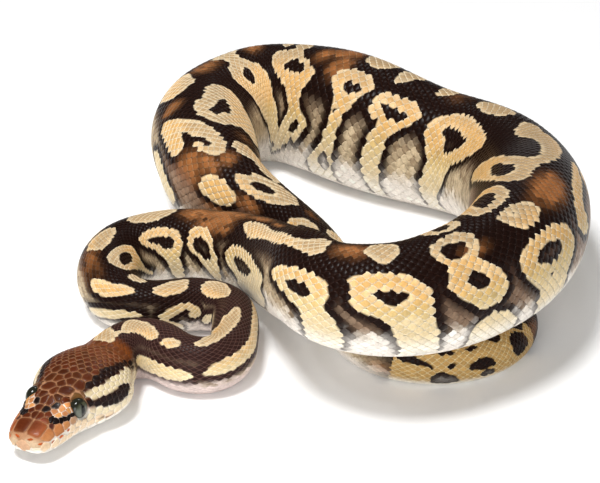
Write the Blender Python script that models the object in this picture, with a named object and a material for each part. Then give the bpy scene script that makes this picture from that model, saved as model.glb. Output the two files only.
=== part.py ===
"""A ball python lying in a loose coil, life size and at rest.

The body is one loft along a route over the floor, cut into lengths. The route starts behind the jaw and
ends at the tip of the tail. The head is a second loft on a straight axis, with the lower jaw cut free along
the mouth and an eye in each socket. Values are in millimetres until a mesh is made. The origin is on the
floor, under the middle of the coil.
"""
import math

import bmesh
import bpy
import numpy as np

MM = 0.001
GAP = 0.3

# The route: x, y, clearance under the belly, half width, half height.
ROUTE = (
    # behind the jaw, and the bend where the neck sets off across the floor
    (-57.2, -65.9, 0.0, 9.4, 7.6), (-56.0, -63.4, 0.0, 8.4, 7.8), (-54.8, -61.2, 0.0, 7.6, 8.1),
    (-51.3, -57.8, 0.0, 7.3, 8.5), (-45.9, -57.0, 0.0, 7.3, 8.6), (-41.5, -59.3, 0.0, 7.3, 8.5),
    # round the neck loop and back behind it
    (-37.7, -63.0, 0.0, 7.1, 8.3), (-32.5, -65.0, 0.0, 6.9, 8.1), (-27.1, -63.4, 0.0, 6.8, 8.0),
    (-24.0, -58.9, 0.0, 6.8, 8.0),
    (-23.1, -53.1, 0.0, 6.7, 8.0), (-22.9, -47.1, 0.0, 6.7, 8.0),
    (-23.0, -40.6, 0.0, 6.5, 7.8), (-25.1, -34.3, 0.0, 6.3, 7.6), (-30.3, -31.0, 0.0, 6.5, 7.7),
    (-36.9, -31.0, 0.0, 7.0, 7.9), (-43.6, -32.5, 0.0, 7.2, 7.9), (-50.1, -32.3, 0.0, 7.4, 8.1),
    (-55.6, -28.9, 0.0, 8.0, 8.7),
    # the small left-hand turn
    (-59.2, -22.1, 0.0, 8.8, 9.5), (-59.7, -14.1, 0.0, 9.3, 10.2), (-56.1, -6.3, 0.0, 9.6, 10.6),
    (-48.3, -2.1, 0.0, 9.7, 11.0), (-38.9, -2.6, 0.0, 9.9, 11.7), (-29.8, -5.9, 0.0, 9.7, 12.3),
    # climbing over the rear body and the tail
    (-22.3, -12.4, 1.5, 9.3, 12.7), (-16.3, -20.6, 3.7, 9.1, 13.0), (-10.7, -33.9, 7.6, 9.8, 13.3),
    (-6.4, -47.5, 12.0, 10.6, 13.7), (-2.7, -59.4, 16.4, 11.4, 13.9), (2.4, -67.9, 18.0, 12.2, 14.1),
    (10.9, -72.7, 18.0, 13.2, 14.8), (20.9, -72.1, 17.0, 13.9, 15.4), (31.9, -66.1, 15.3, 14.7, 16.4),
    (42.9, -56.1, 14.0, 15.5, 17.2), (52.9, -40.6, 12.0, 16.4, 18.2), (58.5, -23.1, 8.8, 17.0, 18.9),
    (60.9, -6.1, 5.0, 17.6, 19.5),
    # down to the floor, round the right-hand turn and along the back
    (61.7, 10.9, 1.5, 17.6, 19.6), (59.2, 27.2, 0.0, 17.4, 19.4), (50.8, 41.9, 0.0, 17.0, 19.0),
    (38.6, 50.7, 0.0, 17.2, 19.2), (26.2, 58.2, 0.0, 18.4, 20.5), (12.4, 68.5, 0.0, 19.3, 21.6),
    (-3.4, 81.7, 0.0, 17.7, 20.5),
    # the large left-hand turn
    (-11.0, 85.4, 0.0, 16.8, 19.9), (-19.0, 85.7, 0.0, 16.9, 19.4), (-26.6, 82.6, 0.0, 17.2, 18.6),
    (-32.6, 76.1, 0.0, 17.0, 18.1), (-35.2, 68.1, 0.0, 16.9, 17.9),
    (-35.4, 58.9, 0.0, 16.7, 17.9), (-33.7, 47.4, 0.0, 16.2, 17.7), (-29.1, 29.9, 0.0, 14.4, 16.2),
    # the rear body, heading under the front body, and the tail
    (-17.4, 16.7, 0.0, 10.9, 12.9), (-6.1, 3.9, 0.0, 8.8, 10.9), (0.3, -7.6, 0.0, 8.2, 10.2),
    (4.2, -19.6, 0.0, 8.0, 9.7), (6.6, -32.1, 0.0, 7.7, 9.1), (9.6, -45.3, 0.0, 7.3, 8.4),
    (18.5, -56.4, 0.0, 6.8, 7.5), (32.6, -60.3, 0.0, 6.3, 6.9), (46.5, -55.5, 0.0, 5.7, 6.1),
    (55.5, -42.9, 0.0, 4.8, 5.2), (57.4, -27.1, 0.0, 3.5, 3.7), (55.3, -14.1, 0.0, 1.5, 1.6),
)
FLOOR_SHARE = 0.93       # the belly is flat this share of a half height below the widest level
RING = 20                # points round a section
CHORD = (2.2, 0.4)       # longest step on the outside of a bend: a constant, and a share of the half height
LEAD = 6.0               # the route sets off straight behind the head, from a point this far ahead of its start
TOUCHING = 0.05          # a clearance under this is none
CREASE = 50              # faces that meet at a sharper angle than this, in degrees, keep their edge

# Where the body is divided, as distances along the route; the vent is at the third last.
CUTS = (
    25, 58, 88, 118, 150, 182, 212, 242, 274, 308, 340, 372, 404, 438, 472, 504, 536, 570, 604, 636, 660, 682,
)
NECK_LENGTHS = 3
TAIL_LENGTHS = 3

# The head: snout tip, the way it faces, and sections as distance behind the tip, half width,
# top, widest level, underside and squareness (1 is an ellipse, less is boxier).
SNOUT = (-75.3, -101.6)
FACING = (-0.4520, -0.8920)
HEAD_SECTIONS = (
    (0.0, 2.6, 6.5, 5.1, 3.9, 0.80), (1.2, 4.6, 7.8, 5.1, 2.9, 0.78), (3.4, 6.3, 9.0, 5.2, 2.1, 0.78),
    (6.5, 7.2, 10.1, 5.4, 1.5, 0.80), (10.0, 7.7, 11.2, 5.8, 1.0, 0.82), (13.5, 8.1, 12.3, 6.2, 0.6, 0.84),
    (17.0, 8.9, 13.2, 6.4, 0.3, 0.86), (20.5, 10.4, 13.9, 6.6, 0.0, 0.88), (24.0, 12.3, 14.5, 6.8, 0.0, 0.90),
    (27.5, 13.4, 15.1, 6.9, 0.0, 0.92), (31.0, 13.5, 15.5, 7.0, 0.0, 0.94), (34.5, 12.4, 15.5, 7.0, 0.0, 0.96),
    (37.5, 10.6, 15.2, 7.1, 0.0, 0.98), (39.7, 9.45, 14.67, 7.07, 0.0, 1.0),
)
# The mouth line from the side: distance behind the tip, height.
MOUTH = ((-3.0, 4.4), (1.0, 4.3), (5.0, 3.6), (10.0, 3.0), (15.0, 2.8), (20.0, 3.1), (25.0, 4.0), (32.0, 5.4))
MOUTH_CUTTER = (-3.0, 22.0)   # its underside and its half span
EYE_RADIUS = 2.6
EYE_BACK, EYE_OUT, EYE_UP = 15.9, 6.6, 9.3
EYE_SEGMENTS = 20

COLOURS = {
    "head": ((0.235, 0.085, 0.032), 0.35),
    "jaw": ((0.86, 0.72, 0.56), 0.4),
    "eye": ((0.035, 0.042, 0.035), 0.08),
    "body": ((0.10, 0.048, 0.026), 0.4),
    "tail": ((0.42, 0.27, 0.11), 0.4),
}


def clear_scene():
    for thing in list(bpy.data.objects):
        bpy.data.objects.remove(thing, do_unlink=True)


def make_material(name):
    """A plain Principled finish named for the sub-parts that wear it."""
    colour, roughness = COLOURS[name]
    finish = bpy.data.materials.new(name)
    finish.use_nodes = True
    shader = finish.node_tree.nodes["Principled BSDF"]
    shader.inputs["Base Color"].default_value = (*colour, 1.0)
    shader.inputs["Roughness"].default_value = roughness
    shader.inputs["Metallic"].default_value = 0.0
    return finish


def natural_spline(knots, values, at):
    """A cubic through rows of values at the knots, with free ends, read at the places `at`."""
    count = len(knots)
    step = np.diff(knots)
    slope = np.diff(values, axis=0) / step[:, None]
    matrix = np.eye(count)
    right = np.zeros_like(values)
    for i in range(1, count - 1):
        matrix[i, i - 1 : i + 2] = step[i - 1], 2 * (step[i - 1] + step[i]), step[i]
        right[i] = 6 * (slope[i] - slope[i - 1])
    curve = np.linalg.solve(matrix, right)
    k = np.clip(np.searchsorted(knots, at) - 1, 0, count - 2)
    h, u = step[k][:, None], (at - knots[k])[:, None]
    bend = curve[k] / 2
    twist = (curve[k + 1] - curve[k]) / (6 * h)
    start = slope[k] - h * (2 * curve[k] + curve[k + 1]) / 6
    return values[k] + u * (start + u * (bend + u * twist))


class Route:
    """The body's centre line, read by distance from behind the jaw."""

    SAMPLES = 4000

    def __init__(self):
        back = -np.array(FACING)
        rows = np.array(ROUTE)
        lead = rows[0].copy()
        lead[:2] -= LEAD * back
        rows = np.vstack([lead, rows])
        knots = np.concatenate([[0], np.cumsum(np.linalg.norm(np.diff(rows[:, :2], axis=0), axis=1))])
        fine = np.linspace(knots[1], knots[-1], self.SAMPLES)
        self.rows = natural_spline(knots, rows, fine)
        self.rows[:, 2] = np.where(self.rows[:, 2] < TOUCHING, 0, self.rows[:, 2])
        flat = np.linalg.norm(np.diff(self.rows[:, :2], axis=0), axis=1)
        self.distance = np.concatenate([[0], np.cumsum(flat)])
        heading = np.gradient(self.rows[:, :2], self.distance, axis=0)
        self.heading = heading / np.linalg.norm(heading, axis=1)[:, None]
        turn = np.gradient(np.unwrap(np.arctan2(self.heading[:, 1], self.heading[:, 0])), self.distance)
        self.turn = np.abs(turn)
        middle = self.rows[:, 2] + FLOOR_SHARE * self.rows[:, 4]
        self.climb = np.gradient(middle, self.distance)
        self.length = float(self.distance[-1])

    def at(self, distance):
        """Position, heading, half width and half height there. On a ramp the upright section is taller."""
        read = lambda column: float(np.interp(distance, self.distance, column))
        x, y, clearance, half_width, half_height = (read(self.rows[:, i]) for i in range(5))
        half_height *= math.hypot(1, read(self.climb))
        heading = (read(self.heading[:, 0]), read(self.heading[:, 1]))
        return x, y, clearance, heading, half_width, half_height

    def steps(self, start, end):
        """Distances for the sections of one length, closer together where it bends."""
        density = lambda s: (1 + np.interp(s, self.distance, self.turn * self.rows[:, 3])) / (
            CHORD[0] + CHORD[1] * np.interp(s, self.distance, self.rows[:, 4]))
        fine = np.linspace(start, end, self.SAMPLES // 20)
        share = np.concatenate([[0], np.cumsum(density((fine[1:] + fine[:-1]) / 2) * np.diff(fine))])
        count = max(2, math.ceil(share[-1]))
        return np.interp(np.linspace(0, share[-1], count + 1), share, fine)


def section(half_width, top, widest, underside, squareness=1.0):
    """One closed outline, from the top round to the left, as (across, up) pairs."""
    outline = []
    for k in range(RING):
        angle = 2 * math.pi * k / RING
        side, rise = math.sin(angle), math.cos(angle)
        across = half_width * math.copysign(abs(side) ** squareness, side)
        if rise >= 0:
            up = widest + (top - widest) * rise ** squareness
        else:
            up = widest - (widest - underside) * min(abs(rise) ** squareness / FLOOR_SHARE, 1.0)
        outline.append((across, up))
    return outline


def place(outline, x, y, heading):
    """The outline stood upright across the heading; the first half of its points is on the left."""
    left = (-heading[1], heading[0])
    return [(x + across * left[0], y + across * left[1], up) for across, up in outline]


def loft(name, rings, finish, collection):
    """One closed solid through the rings, with flat ends."""
    form = bmesh.new()
    loops = [[form.verts.new([c * MM for c in corner]) for corner in ring] for ring in rings]
    for near, far in zip(loops, loops[1:]):
        for k in range(RING):
            after = (k + 1) % RING
            form.faces.new((near[k], near[after], far[after], far[k]))
    form.faces.new(loops[0])
    form.faces.new(loops[-1])
    bmesh.ops.triangulate(form, faces=form.faces[:])
    bmesh.ops.recalc_face_normals(form, faces=form.faces[:])
    return finish_object(name, form, finish, collection)


def finish_object(name, form, finish, collection):
    mesh = bpy.data.meshes.new(name)
    form.to_mesh(mesh)
    form.free()
    mesh.materials.append(finish)
    mesh.shade_smooth()
    mesh.set_sharp_from_angle(angle=math.radians(CREASE))
    thing = bpy.data.objects.new(name, mesh)
    collection.objects.link(thing)
    return thing


def body_ring(route, distance, ahead=0.0):
    """The section there, moved `ahead` along its own heading, which keeps a cut's two faces parallel."""
    x, y, clearance, heading, half_width, half_height = route.at(distance)
    widest = clearance + FLOOR_SHARE * half_height
    outline = section(half_width, widest + half_height, widest, clearance)
    return place(outline, x + ahead * heading[0], y + ahead * heading[1], heading)


def length_names():
    """Neck, trunk and tail lengths in order, the last being the tip."""
    trunk = len(CUTS) + 1 - NECK_LENGTHS - TAIL_LENGTHS
    names = [f"neck_{i + 1}" for i in range(NECK_LENGTHS)]
    names += [f"trunk_{i + 1}" for i in range(trunk)]
    names += [f"tail_{i + 1}" for i in range(TAIL_LENGTHS - 1)]
    return names + ["tail_tip"]


def make_body(route, finishes, collection):
    """The lengths behind the head, each stopping short of its neighbour."""
    ends = (0, *CUTS, route.length)
    for name, start, end in zip(length_names(), ends, ends[1:]):
        rings = [body_ring(route, start, GAP / 2)]
        rings += [body_ring(route, s) for s in route.steps(start, end)[1:-1]]
        rings.append(body_ring(route, end, -GAP / 2))
        loft(name, rings, finishes["tail" if name.startswith("tail") else "body"], collection)


def head_point(back, left, up):
    """A place on the head from its distance behind the snout tip, to the animal's left, and above the floor."""
    return (
        SNOUT[0] - back * FACING[0] - left * FACING[1],
        SNOUT[1] - back * FACING[1] + left * FACING[0],
        up,
    )


def make_head_form(finish, collection):
    heading = (-FACING[0], -FACING[1])
    rings = []
    for back, *sizes in HEAD_SECTIONS:
        x, y, _ = head_point(back, 0, 0)
        rings.append(place(section(*sizes), x, y, heading))
    return loft("head", rings, finish, collection)


def make_mouth_cutter(name, raise_by, back_end, collection):
    """A block below the mouth line, reaching back to the corner of the jaw."""
    depth, half_span = MOUTH_CUTTER
    line = [*MOUTH[:-1], (back_end, MOUTH[-1][1])]
    side = [(back, height + raise_by) for back, height in line] + [(back_end, depth), (MOUTH[0][0], depth)]
    form = bmesh.new()
    face = form.faces.new([form.verts.new([c * MM for c in head_point(b, -half_span, u)]) for b, u in side])
    grown = bmesh.ops.extrude_face_region(form, geom=[face])
    moved = [v for v in grown["geom"] if isinstance(v, bmesh.types.BMVert)]
    across = [2 * half_span * MM * c for c in (-FACING[1], FACING[0], 0)]
    bmesh.ops.translate(form, verts=moved, vec=across)
    bmesh.ops.recalc_face_normals(form, faces=form.faces[:])
    mesh = bpy.data.meshes.new(name)
    form.to_mesh(mesh)
    form.free()
    return hide_cutter(bpy.data.objects.new(name, mesh), collection)


def make_ball(radius, side):
    """A sphere at one eye's place: side is 1 for the animal's left, -1 for its right."""
    form = bmesh.new()
    rows = EYE_SEGMENTS // 2 + 2
    bmesh.ops.create_uvsphere(form, u_segments=EYE_SEGMENTS, v_segments=rows, radius=radius * MM)
    centre = [c * MM for c in head_point(EYE_BACK, side * EYE_OUT, EYE_UP)]
    bmesh.ops.translate(form, verts=form.verts, vec=centre)
    return form


def make_socket_cutter(name, side, collection):
    form = make_ball(EYE_RADIUS + GAP, side)
    mesh = bpy.data.meshes.new(name)
    form.to_mesh(mesh)
    form.free()
    return hide_cutter(bpy.data.objects.new(name, mesh), collection)


def hide_cutter(thing, collection):
    collection.objects.link(thing)
    thing.hide_render = True
    thing.display_type = "WIRE"
    return thing


def cut(thing, cutter, operation):
    step = thing.modifiers.new(cutter.name, "BOOLEAN")
    step.operation = operation
    step.solver = "EXACT"
    step.object = cutter


def make_head(finishes, collection, cutters):
    """Skull with its upper lip, the lower jaw below it, and the eyes in their sockets."""
    head = make_head_form(finishes["head"], collection)
    jaw = head.copy()
    jaw.data = head.data.copy()
    jaw.name = jaw.data.name = "lower_jaw"
    jaw.data.materials.clear()
    jaw.data.materials.append(finishes["jaw"])
    collection.objects.link(jaw)
    jaw_end = MOUTH[-1][0]
    cut(head, make_mouth_cutter("mouth_opening", GAP / 2, jaw_end + GAP / 2, cutters), "DIFFERENCE")
    cut(jaw, make_mouth_cutter("jaw_share", -GAP / 2, jaw_end - GAP / 2, cutters), "INTERSECT")
    for name, side in (("left", 1), ("right", -1)):
        cut(head, make_socket_cutter(f"socket_{name}", side, cutters), "DIFFERENCE")
        finish_object(f"eye_{name}", make_ball(EYE_RADIUS, side), finishes["eye"], collection)


def main():
    clear_scene()
    collection = bpy.data.collections.new("ball_python")
    cutters = bpy.data.collections.new("cutters")
    for group in (collection, cutters):
        bpy.context.scene.collection.children.link(group)
    finishes = {name: make_material(name) for name in COLOURS}
    make_head(finishes, collection, cutters)
    make_body(Route(), finishes, collection)


main()
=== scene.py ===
"""Dresses a ball python lying in a loose coil: skin, scales, head plates and eyes, on a pale floor.

Run as a script, or open in the text editor and run; the panel in the sidebar lists each piece. Shapes are
worked out in millimetres and turned to metres where a mesh is made. A place on the animal is given by its
distance behind the jaw (negative on the head, down to -40 at the snout) and by the angle round the body
from the top, in degrees, positive on the right of the way the route runs, which is the animal's left.
"""

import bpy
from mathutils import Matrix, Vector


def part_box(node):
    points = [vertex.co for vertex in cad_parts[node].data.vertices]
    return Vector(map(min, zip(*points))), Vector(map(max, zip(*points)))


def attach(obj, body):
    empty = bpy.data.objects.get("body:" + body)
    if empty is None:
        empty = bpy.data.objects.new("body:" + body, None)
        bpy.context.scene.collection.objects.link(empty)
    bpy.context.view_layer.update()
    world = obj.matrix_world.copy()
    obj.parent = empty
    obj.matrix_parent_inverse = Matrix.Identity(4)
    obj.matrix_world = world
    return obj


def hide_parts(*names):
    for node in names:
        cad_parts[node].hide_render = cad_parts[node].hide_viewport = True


bl_info = {
    "name": "Ball Python",
    "version": (1, 0, 0),
    "blender": (4, 5, 0),
    "location": "View3D > Sidebar > Ball Python",
    "description": "Skin, scales, head plates and eyes for a life-size coiled ball python",
    "category": "Add Mesh",
}

import math

import bmesh
import bpy
import numpy as np
from bpy.props import FloatProperty, FloatVectorProperty, IntProperty, PointerProperty
from mathutils import Vector
from mathutils.bvhtree import BVHTree

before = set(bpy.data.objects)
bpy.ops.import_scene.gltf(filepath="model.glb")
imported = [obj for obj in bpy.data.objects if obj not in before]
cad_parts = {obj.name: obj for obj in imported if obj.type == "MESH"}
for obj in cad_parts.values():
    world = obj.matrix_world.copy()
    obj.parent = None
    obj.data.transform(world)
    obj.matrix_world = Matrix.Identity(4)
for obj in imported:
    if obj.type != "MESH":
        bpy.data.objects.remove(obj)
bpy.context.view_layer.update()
MM = 0.001

# The route of the solids: x, y, clearance under the belly, half width, half height.
ROUTE = (
    # behind the jaw, and the bend where the neck sets off across the floor
    (-57.2, -65.9, 0.0, 9.4, 7.6), (-56.0, -63.4, 0.0, 8.4, 7.8), (-54.8, -61.2, 0.0, 7.6, 8.1),
    (-51.3, -57.8, 0.0, 7.3, 8.5), (-45.9, -57.0, 0.0, 7.3, 8.6), (-41.5, -59.3, 0.0, 7.3, 8.5),
    # round the neck loop and back behind it
    (-37.7, -63.0, 0.0, 7.1, 8.3), (-32.5, -65.0, 0.0, 6.9, 8.1), (-27.1, -63.4, 0.0, 6.8, 8.0),
    (-24.0, -58.9, 0.0, 6.8, 8.0),
    (-23.1, -53.1, 0.0, 6.7, 8.0), (-22.9, -47.1, 0.0, 6.7, 8.0),
    (-23.0, -40.6, 0.0, 6.5, 7.8), (-25.1, -34.3, 0.0, 6.3, 7.6), (-30.3, -31.0, 0.0, 6.5, 7.7),
    (-36.9, -31.0, 0.0, 7.0, 7.9), (-43.6, -32.5, 0.0, 7.2, 7.9), (-50.1, -32.3, 0.0, 7.4, 8.1),
    (-55.6, -28.9, 0.0, 8.0, 8.7),
    # the small left-hand turn
    (-59.2, -22.1, 0.0, 8.8, 9.5), (-59.7, -14.1, 0.0, 9.3, 10.2), (-56.1, -6.3, 0.0, 9.6, 10.6),
    (-48.3, -2.1, 0.0, 9.7, 11.0), (-38.9, -2.6, 0.0, 9.9, 11.7), (-29.8, -5.9, 0.0, 9.7, 12.3),
    # climbing over the rear body and the tail
    (-22.3, -12.4, 1.5, 9.3, 12.7), (-16.3, -20.6, 3.7, 9.1, 13.0), (-10.7, -33.9, 7.6, 9.8, 13.3),
    (-6.4, -47.5, 12.0, 10.6, 13.7), (-2.7, -59.4, 16.4, 11.4, 13.9), (2.4, -67.9, 18.0, 12.2, 14.1),
    (10.9, -72.7, 18.0, 13.2, 14.8), (20.9, -72.1, 17.0, 13.9, 15.4), (31.9, -66.1, 15.3, 14.7, 16.4),
    (42.9, -56.1, 14.0, 15.5, 17.2), (52.9, -40.6, 12.0, 16.4, 18.2), (58.5, -23.1, 8.8, 17.0, 18.9),
    (60.9, -6.1, 5.0, 17.6, 19.5),
    # down to the floor, round the right-hand turn and along the back
    (61.7, 10.9, 1.5, 17.6, 19.6), (59.2, 27.2, 0.0, 17.4, 19.4), (50.8, 41.9, 0.0, 17.0, 19.0),
    (38.6, 50.7, 0.0, 17.2, 19.2), (26.2, 58.2, 0.0, 18.4, 20.5), (12.4, 68.5, 0.0, 19.3, 21.6),
    (-3.4, 81.7, 0.0, 17.7, 20.5),
    # the large left-hand turn
    (-11.0, 85.4, 0.0, 16.8, 19.9), (-19.0, 85.7, 0.0, 16.9, 19.4), (-26.6, 82.6, 0.0, 17.2, 18.6),
    (-32.6, 76.1, 0.0, 17.0, 18.1), (-35.2, 68.1, 0.0, 16.9, 17.9),
    (-35.4, 58.9, 0.0, 16.7, 17.9), (-33.7, 47.4, 0.0, 16.2, 17.7), (-29.1, 29.9, 0.0, 14.4, 16.2),
    # the rear body, heading under the front body, and the tail
    (-17.4, 16.7, 0.0, 10.9, 12.9), (-6.1, 3.9, 0.0, 8.8, 10.9), (0.3, -7.6, 0.0, 8.2, 10.2),
    (4.2, -19.6, 0.0, 8.0, 9.7), (6.6, -32.1, 0.0, 7.7, 9.1), (9.6, -45.3, 0.0, 7.3, 8.4),
    (18.5, -56.4, 0.0, 6.8, 7.5), (32.6, -60.3, 0.0, 6.3, 6.9), (46.5, -55.5, 0.0, 5.7, 6.1),
    (55.5, -42.9, 0.0, 4.8, 5.2), (57.4, -27.1, 0.0, 3.5, 3.7), (55.3, -14.1, 0.0, 1.5, 1.6),
)
FLOOR_SHARE = 0.93       # the belly is flat this share of a half height below the widest level
LEAD = 6.0               # the route sets off straight behind the head
HEAD_LENGTH = 40.0       # from the snout tip to the start of the route
SNOUT = (-75.3, -101.6)
FACING = (-0.4520, -0.8920)
# Distance behind the snout tip, half width, top, widest level, underside, squareness.
HEAD_SECTIONS = (
    (0.0, 2.6, 6.5, 5.1, 3.9, 0.80), (1.2, 4.6, 7.8, 5.1, 2.9, 0.78), (3.4, 6.3, 9.0, 5.2, 2.1, 0.78),
    (6.5, 7.2, 10.1, 5.4, 1.5, 0.80), (10.0, 7.7, 11.2, 5.8, 1.0, 0.82), (13.5, 8.1, 12.3, 6.2, 0.6, 0.84),
    (17.0, 8.9, 13.2, 6.4, 0.3, 0.86), (20.5, 10.4, 13.9, 6.6, 0.0, 0.88),
    (24.0, 12.3, 14.5, 6.8, 0.0, 0.90),
    (27.5, 13.4, 15.1, 6.9, 0.0, 0.92), (31.0, 13.5, 15.5, 7.0, 0.0, 0.94),
    (34.5, 12.4, 15.5, 7.0, 0.0, 0.96),
    (37.5, 10.6, 15.2, 7.1, 0.0, 0.98), (39.7, 9.45, 14.67, 7.07, 0.0, 1.0),
)
# The mouth line from the side: distance behind the tip, height.
MOUTH = ((0.0, 4.35), (1.0, 4.3), (5.0, 3.6), (10.0, 3.0), (15.0, 2.8), (20.0, 3.1), (25.0, 4.0), (31.0, 5.2))
UNDER = 0.1              # everything keeps this far inside the solids
ABOVE_FLOOR = 0.02       # and scales and plates this far above the floor
EYE_RIM = 2.6            # radius of the rim in the skin round an eye


# ---------------------------------------------------------------- the animal's outer form

def natural_spline(knots, values, at):
    """A cubic through rows of values at the knots, with free ends, read at the places `at`."""
    count = len(knots)
    step = np.diff(knots)
    slope = np.diff(values, axis=0) / step[:, None]
    matrix = np.eye(count)
    right = np.zeros_like(values)
    for i in range(1, count - 1):
        matrix[i, i - 1 : i + 2] = step[i - 1], 2 * (step[i - 1] + step[i]), step[i]
        right[i] = 6 * (slope[i] - slope[i - 1])
    curve = np.linalg.solve(matrix, right)
    k = np.clip(np.searchsorted(knots, at) - 1, 0, count - 2)
    h, u = step[k][:, None], (at - knots[k])[:, None]
    bend = curve[k] / 2
    twist = (curve[k + 1] - curve[k]) / (6 * h)
    start = slope[k] - h * (2 * curve[k] + curve[k + 1]) / 6
    return values[k] + u * (start + u * (bend + u * twist))


def smooth_step(low, high, value):
    share = np.clip((value - low) / (high - low), 0.0, 1.0)
    return share * share * (3 - 2 * share)


def bell(distance, width):
    return np.exp(-((distance / width) ** 2))


def run_length(points):
    """Distance along a line of points to each of them."""
    return np.concatenate([[0], np.cumsum(np.linalg.norm(np.diff(points, axis=0), axis=1))])


class Form:
    """The outer surface of the solids as one smooth form, from the snout tip to the tip of the tail."""

    SAMPLES = 6000
    TIP_ROUND = 4.0       # the last stretch of the tail, which closes in a round end

    def __init__(self):
        body = self.body_rows()
        head = self.head_rows()
        table = np.vstack([head, body])
        self.along = table[:, 0]
        self.table = table[:, 1:]
        self.end = float(self.along[-1])
        self.girth = (self.table[:, 4] + (self.table[:, 5] - self.table[:, 7]) / 2) / 2

    def head_rows(self):
        """Along, x, y, heading x, heading y, half width, top, widest, underside, squareness."""
        sections = np.array(HEAD_SECTIONS)
        back = np.linspace(0.0, HEAD_LENGTH, int(HEAD_LENGTH * 10), endpoint=False)
        sizes = natural_spline(sections[:, 0], sections[:, 1:], back)
        facing = np.array(FACING)
        middle = np.array(SNOUT) - back[:, None] * facing
        heading = np.repeat(-facing[None, :], len(back), axis=0)
        return np.column_stack([back - HEAD_LENGTH, middle, heading, sizes])

    def body_rows(self):
        facing = np.array(FACING)
        rows = np.array(ROUTE)
        lead = rows[0].copy()
        lead[:2] += LEAD * facing
        rows = np.vstack([lead, rows])
        knots = run_length(rows[:, :2])
        fine = np.linspace(knots[1], knots[-1], self.SAMPLES)
        rows = natural_spline(knots, rows, fine)
        clearance = np.maximum(rows[:, 2], 0)
        along = run_length(rows[:, :2])
        heading = np.gradient(rows[:, :2], along, axis=0)
        heading /= np.linalg.norm(heading, axis=1)[:, None]
        self.turn = np.gradient(np.unwrap(np.arctan2(heading[:, 1], heading[:, 0])), along)
        half_width, half_height = rows[:, 3], rows[:, 4]
        climb = np.gradient(clearance + FLOOR_SHARE * half_height, along)
        half_height = half_height * np.hypot(1, climb)
        tip = np.clip((along[-1] - along) / self.TIP_ROUND, 0, 1)
        rounding = np.sqrt(np.clip(1 - (1 - tip) ** 2, 0, 1))
        half_width = half_width * rounding
        widest = clearance + FLOOR_SHARE * half_height
        half_height = half_height * rounding
        underside = widest - FLOOR_SHARE * half_height
        square = np.ones(len(along))
        return np.column_stack(
            [along, rows[:, :2], heading, half_width, widest + half_height, widest, underside, square])

    def read(self, along):
        return [np.interp(along, self.along, self.table[:, i]) for i in range(self.table.shape[1])]

    def bend(self, along):
        """How sharply the route turns there, per millimetre: positive to the left."""
        body = self.along >= 0
        return np.interp(along, self.along[body], self.turn, left=0.0)

    def around(self, along):
        """Millimetres round the body for one degree, on average."""
        return np.interp(along, self.along, self.girth) * math.pi / 180

    def place(self, along, angle, sink=0.0):
        """Points on the form, `sink` millimetres under its surface. Angles are in degrees."""
        x, y, ahead_x, ahead_y, half_width, top, widest, underside, square = self.read(along)
        side, rise = np.sin(np.radians(angle)), np.cos(np.radians(angle))
        sink = np.minimum(sink + UNDER, 0.45 * half_width)
        across = np.sign(side) * np.abs(side) ** square * (half_width - sink)
        above = widest + np.abs(rise) ** square * (top - sink - widest)
        below = widest - np.minimum(np.abs(rise) ** square / FLOOR_SHARE, 1) * (widest - underside - sink)
        up = np.where(rise >= 0, above, below)
        return np.stack([x + across * ahead_y, y - across * ahead_x, up], axis=-1)

    def outward(self, along, angle):
        """Unit normals of the form there."""
        step_along, step_angle = 0.15, 0.8
        run = self.place(along + step_along, angle) - self.place(along - step_along, angle)
        turn = self.place(along, angle + step_angle) - self.place(along, angle - step_angle)
        normal = np.cross(turn, run)
        length = np.linalg.norm(normal, axis=-1)
        radial = self.place(along, angle) - self.core(along)
        radial /= np.linalg.norm(radial, axis=-1)[..., None] + 1e-9
        normal = np.where(length[..., None] > 1e-4, normal / (length[..., None] + 1e-9), radial)
        return np.where((normal * radial).sum(-1)[..., None] < 0, -normal, normal)

    def core(self, along):
        """Points on the line through the middle of every section."""
        x, y, _, _, _, top, _, underside, _ = self.read(along)
        return np.stack([x, y, (top + underside) / 2], axis=-1)


FORM = Form()


def head_place(back, left, up):
    """Points from their distance behind the snout tip, to the animal's left, and above the floor."""
    back, left, up = np.broadcast_arrays(*(np.asarray(v, float) for v in (back, left, up)))
    return np.stack([
        SNOUT[0] - back * FACING[0] - left * FACING[1],
        SNOUT[1] - back * FACING[1] + left * FACING[0],
        up,
    ], axis=-1)


def head_coordinates(points):
    """The other way: distance behind the tip, to the left, and up, for points on or near the head."""
    flat = points[..., :2] - np.array(SNOUT)
    facing = np.array(FACING)
    back = -(flat @ facing)
    left = flat @ np.array([-facing[1], facing[0]])
    return back, left, points[..., 2]


def head_surface(back, angle):
    """The point of the form at this distance behind the tip and this angle."""
    return FORM.place(np.array([back - HEAD_LENGTH]), np.array([angle]))[0]


def mouth_height(back):
    line = np.array(MOUTH)
    return np.interp(back, line[:, 0], line[:, 1])


SKIN_RING = 128          # quads round the skin
HEAD_STEP = 0.42         # from one ring of the skin to the next
BODY_STEP = 1.5
PATCH = 0.003            # width of each scale's patch on the bake map
TAIL_END = 4.0           # the last stretch of the tail, where the skin's rings get closer


def eye_centre(node):
    low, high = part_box(node)
    return (np.array(low) + np.array(high)) / 2 / MM


EYES = {1: eye_centre("eye_left"), -1: eye_centre("eye_right")}
EYE_SIZE = 2.8           # radius of an eyeball
EYE_FLATTENING = 0.2     # share of it taken off from side to side
EYE_BACK = 0.35          # how far it lies behind the middle of the solid's eye
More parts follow.
